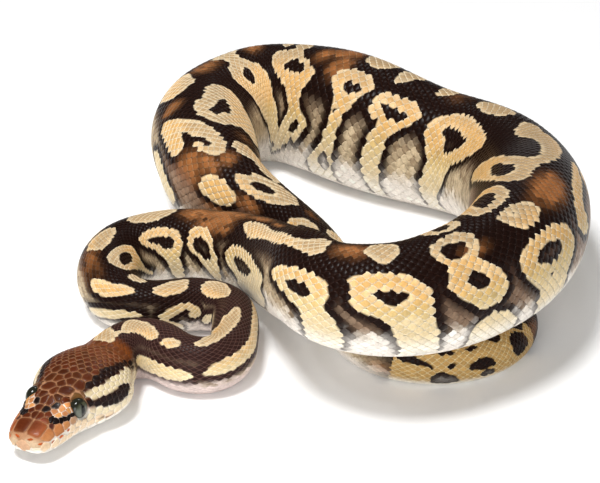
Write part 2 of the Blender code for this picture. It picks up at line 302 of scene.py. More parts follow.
# Heat pits of the upper lip and nostrils: distance behind the tip, angle, reach, depth.
PITS = ((0.85, 24.0, 0.40, 0.5), (1.5, 72.0, 0.36, 0.5), (4.5, 87.0, 0.42, 0.7),
        (7.2, 87.0, 0.42, 0.7), (10.1, 86.0, 0.36, 0.6))
NOSTRILS = ((6.2, 42.0, 0.42, 0.8),)
HOLLOWS = [
    (head_surface(back, side * angle), reach, depth)
    for back, angle, reach, depth in PITS + NOSTRILS for side in (1, -1)
]


# ---------------------------------------------------------------- markings

# Each pale blotch: an outline of (distance along, angle) corners, then the dark holes inside it.
NECK_BLOTCHES = (
    (((3, 77), (5, 89), (9, 99), (15, 107), (22, 109), (25, 104), (28, 104), (30.5, 97), (31.5, 86),
      (31, 78), (27, 75), (21, 78), (14, 78), (8, 75)),),
    (((32.5, 86), (36, 88), (39, 82), (45, 78), (51, 76), (56, 73), (61, 69), (64, 60), (65, 50),
      (60, 46), (51, 47), (44, 49), (39, 54), (36, 58), (34, 66)),),
    (((6.6, 9), (6.4, 21), (11, 32), (17.5, 45), (20.5, 44), (22.8, 34), (21.5, 22), (17, 10),
      (13.2, -4), (11.5, -16), (9.8, -14), (8.6, 0)),),
    (((24, 41), (27, 41), (28.5, 29), (28.5, 20), (26.5, 14), (25, 22), (24.2, 31)),),
    (((0.7, 3), (2.2, 12), (4.4, 12), (6.2, 16), (6.8, 9), (5.0, 3), (6.4, -14), (7.2, -30), (5, -42),
      (2, -36), (0.9, -18)),),
    (((17.5, -54), (14.5, -62), (13, -76), (12.5, -94), (16, -98), (18.3, -84), (18.6, -70)),),
    (((25.7, -48), (21.5, -56), (19.6, -72), (19.5, -90), (23, -100), (26, -90), (27, -70)),),
    (((30.8, 22), (33.2, 25), (36, 16), (38.5, 9), (42, 5), (46, 12), (50, 17.5), (53, 16), (55.6, 8),
      (54.5, -3), (51.5, -14), (51.5, -25), (48.5, -32), (46.5, -41), (48, -54), (50, -66), (47, -72),
      (43, -52), (39, -36), (35, -20), (33, -4)),),
    (((70.5, 16), (74, 5), (76, -10), (77, -30), (75.5, -44), (71, -48), (66, -39), (63.5, -26),
      (63, -12), (66, -3), (68.7, 5)),),
    (((80, 6), (84, 4), (88, -4), (90.5, -20), (90.5, -36), (87, -42), (82, -34), (80.5, -18)),),
    (((94, -25), (97, -23), (101, -35), (104.5, -45), (105, -58), (102, -68), (98, -57), (95, -42)),),
    (((92, 2), (94.5, -5), (97.5, -4), (98.7, 10), (98, 26), (94.5, 22), (92.5, 12)),),
    (((75.6, -86), (76.7, -73), (81, -60), (85.3, -61), (88, -71), (89.6, -85), (88.4, -104),
      (87.2, -124), (86, -148), (83.2, -142), (83, -114), (85.4, -103), (87.2, -95), (86, -84),
      (83.2, -74), (80, -77), (81.9, -85), (81, -95), (78, -96)),),
    (((63.5, -79), (70, -84), (74.5, -90), (76, -100), (74, -114), (71, -106), (67, -96)),),
    (((91.5, -79), (94.5, -74), (98.5, -82), (102, -97), (105.5, -114), (103, -122), (99.5, -106),
      (95.5, -93)),),
)
FRONT_BLOTCHES = (
    (((101, 15), (101.5, 32), (104, 49), (108, 63), (112, 76), (118, 89), (123, 99), (131, 110),
      (133, 106), (127, 97), (121.5, 88), (119.3, 75), (118.6, 60), (119, 45), (116.8, 30), (113.5, 18),
      (109.5, 1), (106.5, -6), (103.8, 0)),
     ((104, 22), (105, 35), (108, 47), (112, 54), (114.3, 47), (112.3, 35), (110, 25), (107, 17))),
    (((111.5, -6), (114.5, 5), (119, 7), (122.3, 3), (123, -12), (120, -26), (118, -38), (115, -44),
      (113, -30)),),
    (((127.3, 0), (129, 12), (133, 20), (137, 18), (140.7, 8), (141.7, -6), (141, -24), (135, -30),
      (129, -22)),),
    (((125.5, 42), (125.3, 52), (129, 60), (134, 68), (138.5, 80), (141.8, 95), (142.3, 108),
      (143.5, 122), (146.5, 122), (147.3, 102), (145.6, 85), (146.4, 70), (146.4, 56), (143.5, 40),
      (138, 33), (131, 33)),
     ((129, 49), (132, 56), (137, 62), (140, 70.5), (143, 69), (143.8, 58), (141, 50.5), (135, 48))),
    (((148.2, 48), (148, 60), (150, 71), (154, 81), (158, 92), (161, 105), (163.5, 118), (166, 117),
      (165.3, 97), (164.3, 80), (161.3, 65), (159, 50), (156, 38), (152, 33), (149, 38)),
     ((150.3, 55), (151, 65), (154, 75), (158, 84), (161, 86), (161.3, 77), (159.3, 65), (156.3, 55),
      (153, 49.5))),
    (((168, 75), (170, 87), (173.5, 97), (177, 106), (176, 116), (180, 125), (187, 132), (200, 132),
      (203, 122), (209, 112), (206, 106), (205, 98), (209, 87), (205, 80), (200, 76), (195, 72),
      (190, 66), (182, 63), (172, 60), (169, 67)),
     ((173.5, 78), (176, 88), (180, 94), (185, 96), (190, 92), (194, 86), (190, 80), (183, 77), (177, 75))),
    (((169.5, 22), (173, 31), (175.5, 39), (178.5, 45), (182, 46.5), (187, 43), (192, 39), (200, 39),
      (207, 43), (211, 39), (214, 34), (218, 29), (225, 27), (226.3, 15), (225.3, 2), (223.5, -14),
      (220, -10), (219, 2), (218, 12), (214, 20), (208, 24), (200, 22), (193, 21), (188, 19), (184, 16),
      (175, 16)),),
    (((214.8, 72), (216, 62), (219, 54), (222, 47.5), (227, 45.5), (230.3, 52), (231.2, 65), (230.3, 76),
      (232, 90), (233.7, 105), (233.3, 125), (232, 148), (224.5, 148), (226, 125), (226.6, 105),
      (226.2, 92), (224, 84), (219, 77)),
     ((220.3, 68), (222.5, 62), (226.5, 59.5), (228, 66), (227.3, 74.5), (223, 73.5))),
    (((233.5, 42), (238, 34.5), (243, 37), (246.3, 47), (248.3, 62), (247.8, 80), (248.8, 100),
      (250, 125), (250.5, 148), (243, 148), (242.5, 122), (241.5, 105), (240.5, 90), (238, 82),
      (234.7, 72), (234.3, 55)),
     ((236.7, 56), (239, 65), (241.3, 71), (243.5, 66), (244.3, 60), (241, 54))),
    (((251.5, 60), (253, 71), (256, 81), (259, 88.5), (263, 88), (266, 80), (267.2, 68), (265.2, 55),
      (262, 45), (261.5, 36), (264, 26), (265, 14), (263, 4), (260, 0), (256, 4), (252, 8), (250.3, 20),
      (251.8, 32), (253, 42), (252, 50)),
     ((256.2, 57), (257, 65), (260, 70), (262.2, 63), (261.4, 54), (258.4, 50)), ((253, 25), (255, 34.5),
      (258.2, 35), (261, 26), (260.3, 17), (256, 13.5), (253.4, 18))),
    (((256.7, 108), (259, 100), (262, 93.5), (266.5, 99), (270, 110), (272.5, 128), (273, 146),
      (257.5, 146), (257.3, 125)),),
    (((271.3, 64), (273, 55), (276.5, 47), (283, 45.5), (289, 47.5), (293.3, 55), (295.3, 66), (295, 76),
      (292, 90), (290, 100), (291.5, 115), (290, 134), (281, 138), (279, 120), (277, 107), (278.3, 98),
      (275, 86), (272.3, 75)),
     ((277, 66), (279, 72.5), (283, 76.5), (286.3, 75), (289, 68), (286.3, 59), (282, 57.5), (279, 60))),
    (((274, 13), (276, 22), (277, 32), (281, 37.5), (286, 36), (289.7, 27), (288, 15), (284, 7),
      (280, 5.5), (276, 8)),),
)
TURN_BLOTCHES = (
    (((300.3, 66), (302, 76), (305.5, 84), (311, 86), (312, 76), (310, 66), (313.5, 59), (320, 57.5),
      (330, 53), (338, 48), (334, 40), (322, 42), (312, 43), (306.5, 50), (302.5, 58)),),
    (((235.2, 6), (236.5, -10), (239.8, -18), (244.5, -8), (244.2, 7), (243, 15), (242.3, 22),
      (240.1, 26), (238.8, 22), (237.3, 14)),),
    (((254.3, -12), (257.5, -6), (263, -3), (266.3, -10), (268.5, -24), (268, -44), (262, -52),
      (256, -40), (254.8, -24)),
     ((258.3, -11), (262, -9), (264.8, -18), (264.5, -34), (260, -34), (258.3, -22))),
    (((272, -10), (275, -3), (282, 0), (288.5, -3), (293, -10), (297, -22), (300, -36), (301, -54),
      (294, -62), (284, -56), (277, -40), (273.5, -24)),
     ((277, -12), (283, -11), (288.5, -17), (291.5, -28), (294, -44), (286, -44), (280, -28))),
    (((298.5, -15), (300, -3), (303.2, 3), (308.9, 3), (314.9, 7.5), (318.5, 15), (325, 24), (332, 28.5),
      (338, 30.5), (346.5, 32), (352, 28), (354, 22), (359.4, 24), (361.6, 13), (358, -1), (351.9, -11),
      (346.5, -8), (344.1, 2), (338.9, 8), (331.5, 9.5), (322.1, 6), (320.3, -3), (323.5, -18),
      (329, -28), (336, -40), (341, -50), (347, -66), (341, -73), (332, -65), (322, -56), (313, -46),
      (305, -33), (299.5, -21)),
     ((306, -20), (310, -13.5), (315.5, -17), (318.5, -26), (323.5, -33), (324.5, -42.5), (317, -42.5),
      (310, -34)),),
    (((367.5, 16), (367, 4), (367.6, -4), (371, -10.5), (376.2, -10.5), (379.6, -2), (380.3, 7),
      (379, 18), (374, 24)),),
    (((388.5, 20), (389.3, 0), (391, -6), (393.5, -7), (394.3, 4), (394.5, 24), (391, 30)),),
    (((400, 22), (403, 0), (405.3, -12), (407.2, -13.5), (407.8, 5), (408, 24), (404, 34)),),
    (((411, 15), (412, 4), (414, -4), (417, -6), (420.3, 0), (422, 10), (423, 24), (417, 32), (412, 28)),),
)
BACK_BLOTCHES = (
    (((354.7, -43), (358, -35.5), (362, -31), (368, -28.5), (373, -24.5), (378, -21.5), (384, -25),
      (388.5, -35), (391.3, -48), (391.3, -56), (389.3, -66), (388, -80), (390, -95), (391.3, -110),
      (390, -128), (388.5, -152), (380.5, -152), (384, -131), (384.3, -117), (382, -108), (379, -97),
      (377, -88), (374, -78), (370, -72), (365, -66.5), (361, -59), (357, -50)),
     ((368, -46.5), (373, -45.5), (378, -40.5), (384, -41), (385, -47), (381.5, -55), (381.3, -64),
      (379, -68), (375, -62.5), (370, -55.5))),
    (((393.8, -38), (396, -29.5), (399, -25), (403, -28), (406, -26.5), (408.7, -35), (409.7, -45),
      (408.7, -56), (406, -54.5), (406.2, -63), (408.2, -75), (409.2, -90), (409.8, -105), (409, -120),
      (408, -152), (403.8, -152), (405, -118), (404.2, -105), (403.5, -90), (402.3, -72), (400.8, -62),
      (396.8, -55), (394.8, -47)),
     ((398, -42.5), (401, -41.5), (405, -39), (408, -40.5), (405.3, -47.5), (402, -53.5), (399, -48.5))),
    (((410.8, -33), (412, -22.5), (415, -16.5), (419, -15.5), (423, -20), (425.3, -30), (423.2, -40),
      (421.2, -50), (420.7, -65), (421.2, -80), (423.2, -95), (426, -107), (430, -120), (432, -152),
      (420, -152), (421, -128), (420, -115), (419, -105), (418.3, -90), (417.3, -75), (416.3, -60),
      (413.8, -45)),
     ((413.5, -34.5), (416, -31.5), (420.3, -32), (419.8, -40), (418, -44.5), (415, -41)),
      ((420.5, -103), (422, -99), (424.7, -112), (424, -123), (421.2, -122))),
    (((431.3, -36), (435, -27), (440, -19.5), (443, -13), (444, -5), (442.8, 5), (445, 20), (448.5, 22),
      (449.3, 3), (447.2, -4), (450, -8), (454, -10), (456, -22), (454, -35.5), (449, -43.5), (444, -51),
      (440, -60), (437.5, -70), (438.3, -80), (441, -92), (444, -103), (447, -113), (455, -128),
      (446, -120), (441, -111), (437, -102), (434.5, -95), (435, -107), (431, -96), (428.7, -86),
      (427.7, -78), (431.7, -69), (434, -58), (433, -48)),
     ((436.8, -31), (440, -26.5), (445, -20.5), (446, -27), (448.5, -33), (443, -38.5), (438, -38.5)),
      ((432, -80), (435, -82), (437.3, -92), (434, -93), (431, -88))),
    (((450, 20), (453.3, 20), (453.3, 3), (451, -3)),),
    (((465.5, 24), (467.7, 6), (468, -8), (465, -20), (461, -30), (457.5, -42), (452, -55), (446.5, -68),
      (443, -82), (442, -95), (445, -107), (450, -113), (449.5, -100), (455, -91), (463, -84.5),
      (470, -74), (474.5, -60), (478, -48), (480.3, -30), (476.3, -16), (472.3, -6), (472.5, 6),
      (474.5, 24)),
     ((469.5, -20.5), (471.3, -25), (473.3, -34), (470, -44.5), (467, -44), (467, -33))),
    (((480, 32), (483.3, 20), (487.5, 8), (491.3, 15), (494.3, 25), (494.8, 38), (492, 50), (488, 60),
      (483, 50)),),
    (((488.8, -15), (492, -4.5), (498, -1.5), (502, 3), (503, 12), (508, 15.5), (513.5, 10), (517.3, 0),
      (519.3, -12), (518, -25), (516.3, -38), (517.3, -52), (518, -66), (512, -78), (504, -74),
      (500, -60), (494, -46), (490, -33)),
     ((499.7, -22), (504, -15), (508, -5), (511, -1.5), (514.2, -8), (511, -16.5), (510.3, -27.5),
      (506, -28.5), (502, -25.5))),
    (((502.7, 55), (506, 62.5), (513, 60.5), (520, 61.5), (522.3, 50), (521, 39.5), (516, 37.5),
      (513.5, 41), (516, 37), (521, 26), (524.3, 17), (527.3, 12.5), (527.3, 20), (523, 27), (523.6, 33),
      (528, 30.5), (531.3, 20), (532.3, 8), (529.3, -1.5), (526, -3.5), (521, 1.5), (517, 9), (513, 24),
      (509, 36), (505, 42)),),
    (((530.7, 60), (533, 70.5), (537, 73.5), (541, 70.5), (543.3, 60), (542.8, 50), (539, 43),
      (536, 40.5), (533, 46)),),
    (((538.5, 26), (540, 34), (543, 38.5), (549, 36.5), (553.5, 30), (557.5, 18), (559.5, 4),
      (560.5, -10), (557, -22), (551, -24), (546, -6), (542, 4), (542, 15), (539.5, 20)),
     ((543.5, 22), (547, 25.5), (550.3, 20), (553.3, 8), (550, 2.5), (546.5, 10))),
    (((528, -18), (529.5, -9), (532, -5), (535, -12), (537.3, -23), (540, -15), (546, -13), (549, -22),
      (546, -36), (541, -48), (533, -52), (529.5, -38)),),
    (((563.4, 33), (564.2, 24), (565.5, 15), (568.3, 4), (572.3, -1), (577.1, 3), (580.5, 9),
      (578.5, 24), (572.8, 36), (566.5, 44), (564, 40)),
     ((567.6, 27), (570.3, 17), (573.8, 15), (577, 19), (575.5, 28), (571.2, 34), (568.6, 34))),
    (((574, -22), (577, -7.5), (580.3, -14), (581, -28), (579, -48), (575, -46)),),
    (((501.5, 92), (504, 83), (508.5, 77.5), (514, 79), (520, 85), (524.3, 93), (524, 108), (520.5, 118),
      (515, 110), (509, 104)),),
)
# Dark patches on the pale tail: outlines of (distance along, angle) corners.
TAIL_DARK = (
    ((640, 137), (646.3, 134), (646.3, 110), (643.2, 91.5), (641, 95), (639.8, 110)),
    ((631, 66), (634, 76), (638, 78), (640.3, 86), (640.3, 77), (637, 59), (633, 55)),
    ((643.3, 86), (645, 80), (645.4, 69), (643.7, 74)),
    ((647.8, 80), (649, 93), (652, 98), (655, 90), (654.8, 75), (653, 61), (649.7, 68)),
    ((652, 124), (655.3, 119), (655, 105), (653, 94), (651.8, 97), (651.3, 110)),
    ((660.7, 92), (664, 96), (667.3, 82), (667.3, 58), (666.3, 34), (663, 20), (660.3, 36), (660.3, 60)),
    ((640, 50), (644, 52), (646, 44), (643, 36)), ((647, 44), (651, 42), (651, 30), (648, 32)),
)
# Dark dots inside pale blotches: along, angle, radius.
DOTS = ((280.5, 16, 0.7), (282, 86, 0.8), (244, 87, 0.5), (419.5, -60, 0.5))
# Soft brown patches on the dark ground: centre along, centre angle, half length, half angle, strength.
BROWN = (
    (110, -36, 7, 22, 0.55), (110, -70, 6, 30, 0.5), (149, 2, 6, 22, 0.9), (158, 24, 8, 24, 1.0),
    (157, 2, 12, 20, 0.9), (164, 40, 4, 10, 0.6),
    (176, 2, 8, 9, 0.9), (190, 6, 6, 6, 0.7), (232, 4, 5, 16, 0.8), (262, 30, 5, 9, 0.6),
    (301, 24, 10, 17, 1.1),
    (387, 4, 5, 18, 0.35), (428, 6, 5, 20, 1.0), (434, -8, 4, 14, 0.8), (425, -18, 4, 18, 0.9),
    (462, 8, 3, 16, 0.8),
    (478, 12, 5, 14, 0.8), (500, 38, 3, 14, 0.8), (527, 60, 4, 28, 1.0), (531, 38, 4, 14, 0.9),
    (534, 14, 3, 16, 0.7),
    (547, 52, 5, 10, 0.9), (537, 84, 8, 7, 0.9), (524, -40, 4, 18, 0.35), (566, -14, 4, 12, 0.4),
    (628, 104, 4, 22, 0.7),
    (672, 60, 6, 26, 0.6), (10, 124, 8, 14, 0.5), (55, 66, 6, 8, 0.4),
)
# Flanks with blotches of a made-up pattern in the style of the others: side, start, end, middle angle.
UNSEEN_FLANKS = (
    (1, 68, 98, 62), (-1, 116, 250, 56), (1, 328, 362, 76), (1, 366, 474, 56), (-1, 534, 584, 78),
    (-1, 588, 632, 58), (1, 568, 614, 70),
)
UNSEEN_SEED = 29         # changes that pattern
FEW_CORNERS = 12         # an outline with fewer has its corners cut twice


def unseen_blotches():
    """Rings with a stem toward the belly and a dark hole, where the pattern is made up."""
    chance = np.random.default_rng(UNSEEN_SEED)
    found = []
    for side, start, end, centre in UNSEEN_FLANKS:
        along = start + 6.0
        while along < end - 4.0:
            size = chance.uniform(0.85, 1.15)
            reach = 6.8 * size * np.interp(along, (0, 90, 200, 600, 640), (0.5, 0.6, 1.0, 0.9, 0.6))
            middle = side * (centre + chance.uniform(-4, 4))
            lean = chance.uniform(-2.0, 2.0)
            turns = np.arange(10) / 10 * 2 * math.pi
            wobble = chance.uniform(0.88, 1.12, 10)
            ring = [(along + reach * w * math.cos(t), middle + side * 22 * w * math.sin(t))
                    for t, w in zip(turns, wobble)]
            foot = min(centre + 52, 128)
            stem = [(along + lean + reach * 0.30, side * foot), (along + lean + reach * 0.5, side * 150),
                    (along + lean - reach * 0.5, side * 150), (along + lean - reach * 0.30, side * foot)]
            outline = ring[:2] + stem + ring[4:]
            hole = [(along + reach * 0.42 * w * math.cos(t), middle - side * 3 + 9.5 * w * math.sin(t))
                    for t, w in zip(turns, wobble[::-1])]
            found.append((tuple(outline), tuple(hole)))
            along += 2 * reach + chance.uniform(2.8, 5.0)
    return found


def rounded(outline):
    """The outline with its corners cut once, or twice where it has few, which leaves a soft curve."""
    points = np.array(outline, float)
    for _ in range(2 if len(outline) < FEW_CORNERS else 1):
        after = np.roll(points, -1, axis=0)
        points = np.stack([0.75 * points + 0.25 * after, 0.25 * points + 0.75 * after], axis=1).reshape(-1, 2)
    return points


def distance_inside(points, outline):
    """How far each point is inside the outline: negative outside. Both are in millimetres."""
    start, end = outline, np.roll(outline, -1, axis=0)
    nearest = np.full(len(points), np.inf)
    inside = np.zeros(len(points), bool)
    for (x0, y0), (x1, y1) in zip(start, end):
        run, rise = x1 - x0, y1 - y0
        share = ((points[:, 0] - x0) * run + (points[:, 1] - y0) * rise) / (run * run + rise * rise + 1e-12)
        share = np.clip(share, 0, 1)
        away = np.hypot(points[:, 0] - x0 - share * run, points[:, 1] - y0 - share * rise)
        nearest = np.minimum(nearest, away)
        crosses = (y0 > points[:, 1]) != (y1 > points[:, 1])
        if y0 != y1:
            inside ^= crosses & (points[:, 0] < x0 + (points[:, 1] - y0) / (y1 - y0) * run)
    return np.where(inside, nearest, -nearest)


class Markings:
    """The pattern as fields over the body: how deep a place lies in a pale blotch, and how brown it is."""

    REACH = 5.0

    def __init__(self):
        seen = NECK_BLOTCHES + FRONT_BLOTCHES + TURN_BLOTCHES + BACK_BLOTCHES
        self.blotches = [[rounded(part) for part in blotch] for blotch in (*seen, *unseen_blotches())]
        self.tail = [rounded(part) for part in TAIL_DARK]

    def union(self, along, angle, shapes):
        depth = np.full(len(along), -self.REACH)
        for outline, *holes in shapes:
            scale = float(FORM.around(outline[:, 0].mean()))
            low, high = outline[:, 0].min() - self.REACH, outline[:, 0].max() + self.REACH
            side = self.REACH / scale
            around = (angle > outline[:, 1].min() - side) & (angle < outline[:, 1].max() + side)
            near = np.flatnonzero((along > low) & (along < high) & around)
            if not len(near):
                continue
            points = np.column_stack([along[near], angle[near] * scale])
            inside = distance_inside(points, outline * (1, scale))
            for hole in holes:
                inside = np.minimum(inside, -distance_inside(points, hole * (1, scale)))
            depth[near] = np.maximum(depth[near], inside)
        return depth

    def pale(self, along, angle):
        """Millimetres inside a pale blotch; the tail is pale with dark bars instead."""
        depth = self.union(along, angle, self.blotches)
        for middle, centre, reach in DOTS:
            away = np.hypot(along - middle, (angle - centre) * 0.33) - reach
            depth = np.minimum(depth, away)
        on_tail = smooth_step(632, 634, along + 0.02 * np.abs(angle))
        bars = -self.union(along, angle, [[shape] for shape in self.tail])
        bars = np.minimum(bars, self.tail_bands(along, angle))
        return np.where(on_tail > 0.5, np.maximum(depth, bars), depth)

    def tail_bands(self, along, angle):
        """The tail's hidden side: dark bands across the back, and its dark last third."""
        wave = 3.2 * np.cos((along - 640) / 11.0 * 2 * math.pi) + 1.0 * np.sin(angle / 17.0)
        hidden = wave + np.clip((angle - 20) / 6, 0, 9)
        return np.minimum(hidden, 2.5 - 0.35 * np.clip(along - 667, -9, 20) * 2)

    def brown(self, along, angle):
        amount = np.zeros(len(along))
        for middle, centre, half_length, half_angle, strength in BROWN:
            away = ((along - middle) / half_length) ** 2 + ((angle - centre) / half_angle) ** 2
            amount = np.maximum(amount, strength * np.exp(-away))
        return np.clip(amount, 0, 1)


MARKINGS = Markings()


def linear(colour):
    """A colour given from 0 to 255 as on a screen, in linear light."""
    share = np.array(colour, float) / 255
    return np.where(share <= 0.04045, share / 12.92, ((share + 0.055) / 1.055) ** 2.4)


def inks(**colours):
    return {name: linear(colour) for name, colour in colours.items()}


INK = inks(
    dark=(22, 10, 7), dark_seam=(46, 27, 20), bare=(244, 232, 204), umber=(120, 89, 72),
    brown=(154, 95, 50), brown_seam=(182, 136, 94), neck=(36, 19, 17), neck_seam=(104, 74, 66),
    neck_belly=(216, 198, 192), tan=(210, 158, 86), peach=(172, 140, 98), yellow=(206, 174, 104),
    cream=(236, 216, 178), white=(246, 239, 226), grey=(150, 124, 95), grey_light=(218, 197, 162),
    belly=(248, 240, 230), tail=(178, 138, 76), tail_seam=(236, 218, 172), nape=(118, 64, 30),
)


def blend(first, second, share):
    return first + (second - first) * np.asarray(share)[..., None]


def body_colours(along, angle, tone, speck):
    """Ground colours and blotch colours, each for the middle and the rim of a scale that sits there,
    and how far inside a blotch it is. `tone` makes each scale differ, and `speck` each corner."""
    pale = MARKINGS.pale(along, angle)
    brown = smooth_step(0.05, 0.95, MARKINGS.brown(along, angle) * (1 + 0.15 * tone))
    low = np.abs(angle)
    pallor = low + 34 * bell(along - 52, 16)
    edge = smooth_step(0.1, 1.5, pale)
    flank = smooth_step(28, 52, low)
    base = blend(INK["peach"][None, :], INK["yellow"], flank)
    core = blend(base, INK["tan"], 0.85 * smooth_step(15, 40, low) * (1 - smooth_step(58, 84, low)))
    core = blend(core, INK["cream"], smooth_step(70, 100, pallor) * 0.6)
    core = blend(INK["cream"], core, 0.55 + 0.45 * edge)
    core = blend(core, INK["white"], smooth_step(100, 128, pallor))
    rim = blend(core, INK["bare"], 0.92 - 0.12 * (1 - flank))
    on_tail = smooth_step(618, 634, along)
    core = blend(core, INK["tail"], on_tail * (1 - smooth_step(112, 140, low)))
    rim = blend(rim, INK["tail_seam"], on_tail * (1 - smooth_step(112, 140, low)))
    neck = smooth_step(95, 55, along)
    dark = blend(blend(INK["dark"][None, :], INK["neck"], neck), INK["brown"], brown * 0.9)
    # On the neck the paler rims of the dark scales are partly their own edge colour and partly painted
    # glints.
    dark_rim = blend(blend(INK["dark_seam"][None, :], INK["neck_seam"], neck), INK["brown_seam"], brown * 0.8)
    away = smooth_step(1.2, 3.4, -pale)
    greyed = smooth_step(52, 76, low) * away * (1 - on_tail)
    pepper = smooth_step(-1.6, 1.4, 0.7 * tone + 0.35 * speck)
    lightness = np.clip(0.7 * pepper + 0.5 * smooth_step(68, 96, low), 0, 1)
    grey = blend(INK["grey"][None, :], INK["grey_light"], lightness)
    front = smooth_step(205, 240, along) * smooth_step(345, 320, along)
    left = smooth_step(505, 520, along) * smooth_step(580, 560, along) * (angle > 0)
    upper = smooth_step(74, 52, low)
    browner = np.clip(0.8 * (front + left) * smooth_step(116, 94, low) + 0.7 * upper, 0, 1)
    grey = blend(grey, INK["umber"], browner)
    dark = blend(dark, grey, (0.62 + 0.33 * smooth_step(-1.6, 0.2, speck)) * greyed)
    dark_rim = blend(dark_rim, grey, 0.95 * greyed)
    fade = smooth_step(94, 118, low + 3 * tone + 1.5 * speck) * (1 - 0.8 * on_tail)
    fade = fade * (0.25 + 0.75 * smooth_step(0.2, 2.0, -pale))
    under = blend(INK["belly"][None, :], INK["neck_belly"], smooth_step(90, 60, along))
    dark, dark_rim = blend(dark, under, 0.97 * fade), blend(dark_rim, under, 0.97 * fade)
    nape = smooth_step(4.5, 1.0, along - 0.02 * low) * smooth_step(66, 50, low)
    dark, dark_rim = blend(dark, INK["nape"], nape), blend(dark_rim, INK["nape"] * 0.9, nape)
    lighter = (1 + 0.07 * tone)[:, None]
    return [np.clip(part, 0, 1) for part in (dark * lighter, dark_rim, core * lighter, rim)], pale


# ---------------------------------------------------------------- head plates

# Plates with a place of their own, the same on both sides: distance behind the tip, angle, reach.
NAMED_PLATES = (
    (3.7, 16, 2.5), (3.8, 52, 1.8), (7.2, 63, 1.4), (8.6, 15, 1.0), (9.6, 5.5, 1.0), (7.9, 4, 0.9),
    (10.2, 24, 0.85), (11.8, 18.5, 1.05),
    (9.9, 35, 0.85), (11.9, 32, 1.0), (11.5, 45, 0.9), (13.6, 50, 0.85), (13.6, 36, 0.9),
    (14.1, 25, 0.95), (14.0, 15, 0.95), (12.4, 6, 0.95), (17.0, 15, 2.0), (17.2, 37, 1.6), (20.9, 21, 1.35),
    (20.9, 9, 1.3), (9.9, 70, 0.9), (12.4, 72, 0.9), (23.4, 8, 1.2), (24.2, 20, 1.15),
)
# Small dark plates in a line from the nostril to the eye: distance behind the tip, angle, reach.
DARK_PLATES = (
    (7.9, 27, 0.75), (8.3, 38, 0.8), (9.4, 46, 0.62), (10.5, 53, 0.6), (11.6, 58, 0.58), (12.7, 62, 0.58),
)
# Plates above and below the mouth line: distance behind the tip.
LIP_PLATES = (2.2, 5.2, 8.1, 10.8, 13.4, 15.9, 18.4, 20.9, 23.4, 25.9, 28.4, 30.8)
# From one small plate to the next: distance behind the tip, millimetres.
SPACING = ((0.0, 1.7), (14.0, 1.75), (20.0, 1.8), (27.0, 1.65), (33.0, 1.55), (41.0, 1.65))
SEAM = 0.026              # from a plate's edge to the middle of the seam, for each millimetre between middles
# Kinds of plate. The eye has no plate, and keeps the others off.
EYE, ROSTRAL, NAMED, LIP, PIT, NOSTRIL, EYE_RING, SMALL, DARK = range(9)
SPOT_ANGLES = (5.5, 18.5, -18.5)     # named plates at these angles are dark spots
TONE_SEED = 5             # changes how the plates differ from each other
# Columns of the seeds after the place.
REACH, BACK, ANGLE, KIND = 3, 4, 5, 6
# How far in a vertex lies on its plate's dome, and the rings between: share of the plate's size, how far in.
FOOT, EDGE, SHOULDER, UPPER, PEAK = -1.0, 0.0, 0.35, 0.75, 1.0
DOME_RINGS = ((0.86, SHOULDER), (0.62, UPPER))
LIFT = {FOOT: -0.5, EDGE: 0.5, SHOULDER: 0.88, UPPER: 0.97, PEAK: 1.0}

# Painted over each side of the head in this order: colour, softness, and an outline of corners, each a
# distance behind the tip and an angle.
HEAD_PAINT = (
    ("amber", 1.2, ((-4, -4), (2.7, -4), (3, 15), (6.0, 18), (7.8, 26), (8.8, 44), (10.6, 60),
         (12.6, 68), (12.6, 90), (-4, 90))),
    ("tawny", 1.8, ((-4, 34), (3, 46), (5.5, 58), (7.5, 66), (10, 67), (12, 71), (12, 94), (-4, 94))),
    ("snout_side", 0.8, ((-4, -4), (0.9, -4), (1.2, 60), (3, 86), (8, 88), (11, 82), (12, 96), (-4, 96))),
    # The small pink patch on the snout is a painted highlight.
    ("pink", 0.8, ((4.9, 6), (6.4, 8), (6.8, 16), (5.2, 15))),
    ("loreal", 0.35, ((8.6, 24), (9.4, 16), (10.6, 14), (12.6, 24), (13.2, 31), (14.8, 34), (15.2, 52),
         (13.6, 60), (11, 52), (9.4, 42))),
    ("lip", 1.0, ((2, 88), (8, 87), (11, 76), (14, 73), (16, 78), (19, 82), (31, 86), (35, 100),
         (30, 112), (0, 112))),
    ("cheek", 0.8, ((16.5, 80), (20, 80), (24, 84), (30, 84), (33, 78), (36, 84), (36, 104), (17, 98))),
    ("dark", 0.45, ((19.0, 36), (21, 29), (25, 26), (29, 27), (32, 31), (35.5, 41), (39.5, 50), (43, 60),
         (43, 76), (38.5, 72), (37.6, 60), (36.4, 52), (34, 49.5), (30, 45.5), (26, 42), (22, 41),
         (20, 42))),
    ("stripe", 0.25, ((18.4, 45), (22, 42.5), (26, 42.5), (30, 46), (34, 50), (36.2, 52.5), (37.4, 60),
         (37, 68), (34.5, 75), (32.5, 73), (31, 65.5), (30, 63.5), (26, 61.5), (22, 60), (19.2, 58.5))),
    ("dark", 0.2, ((18.2, 56), (20, 60), (26, 62), (30, 64), (31.6, 66), (32.4, 75), (31, 82), (27, 84),
         (22, 82), (20, 76.5), (18.2, 74))),
    ("olive", 0.3, ((15.0, 29), (18.6, 27), (19.6, 36), (18.6, 46), (15.2, 44))),
    ("thin_brown", 0.15, ((15.4, 80), (16.6, 80), (17.3, 93), (16.4, 94))),
    ("thin_brown", 0.15, ((18.2, 90), (19.4, 90), (19.4, 95.5), (18.2, 96))),
    ("thin_brown", 0.2, ((20.5, 102.5), (25.5, 105), (25.5, 107.5), (20.5, 105.5))),
)
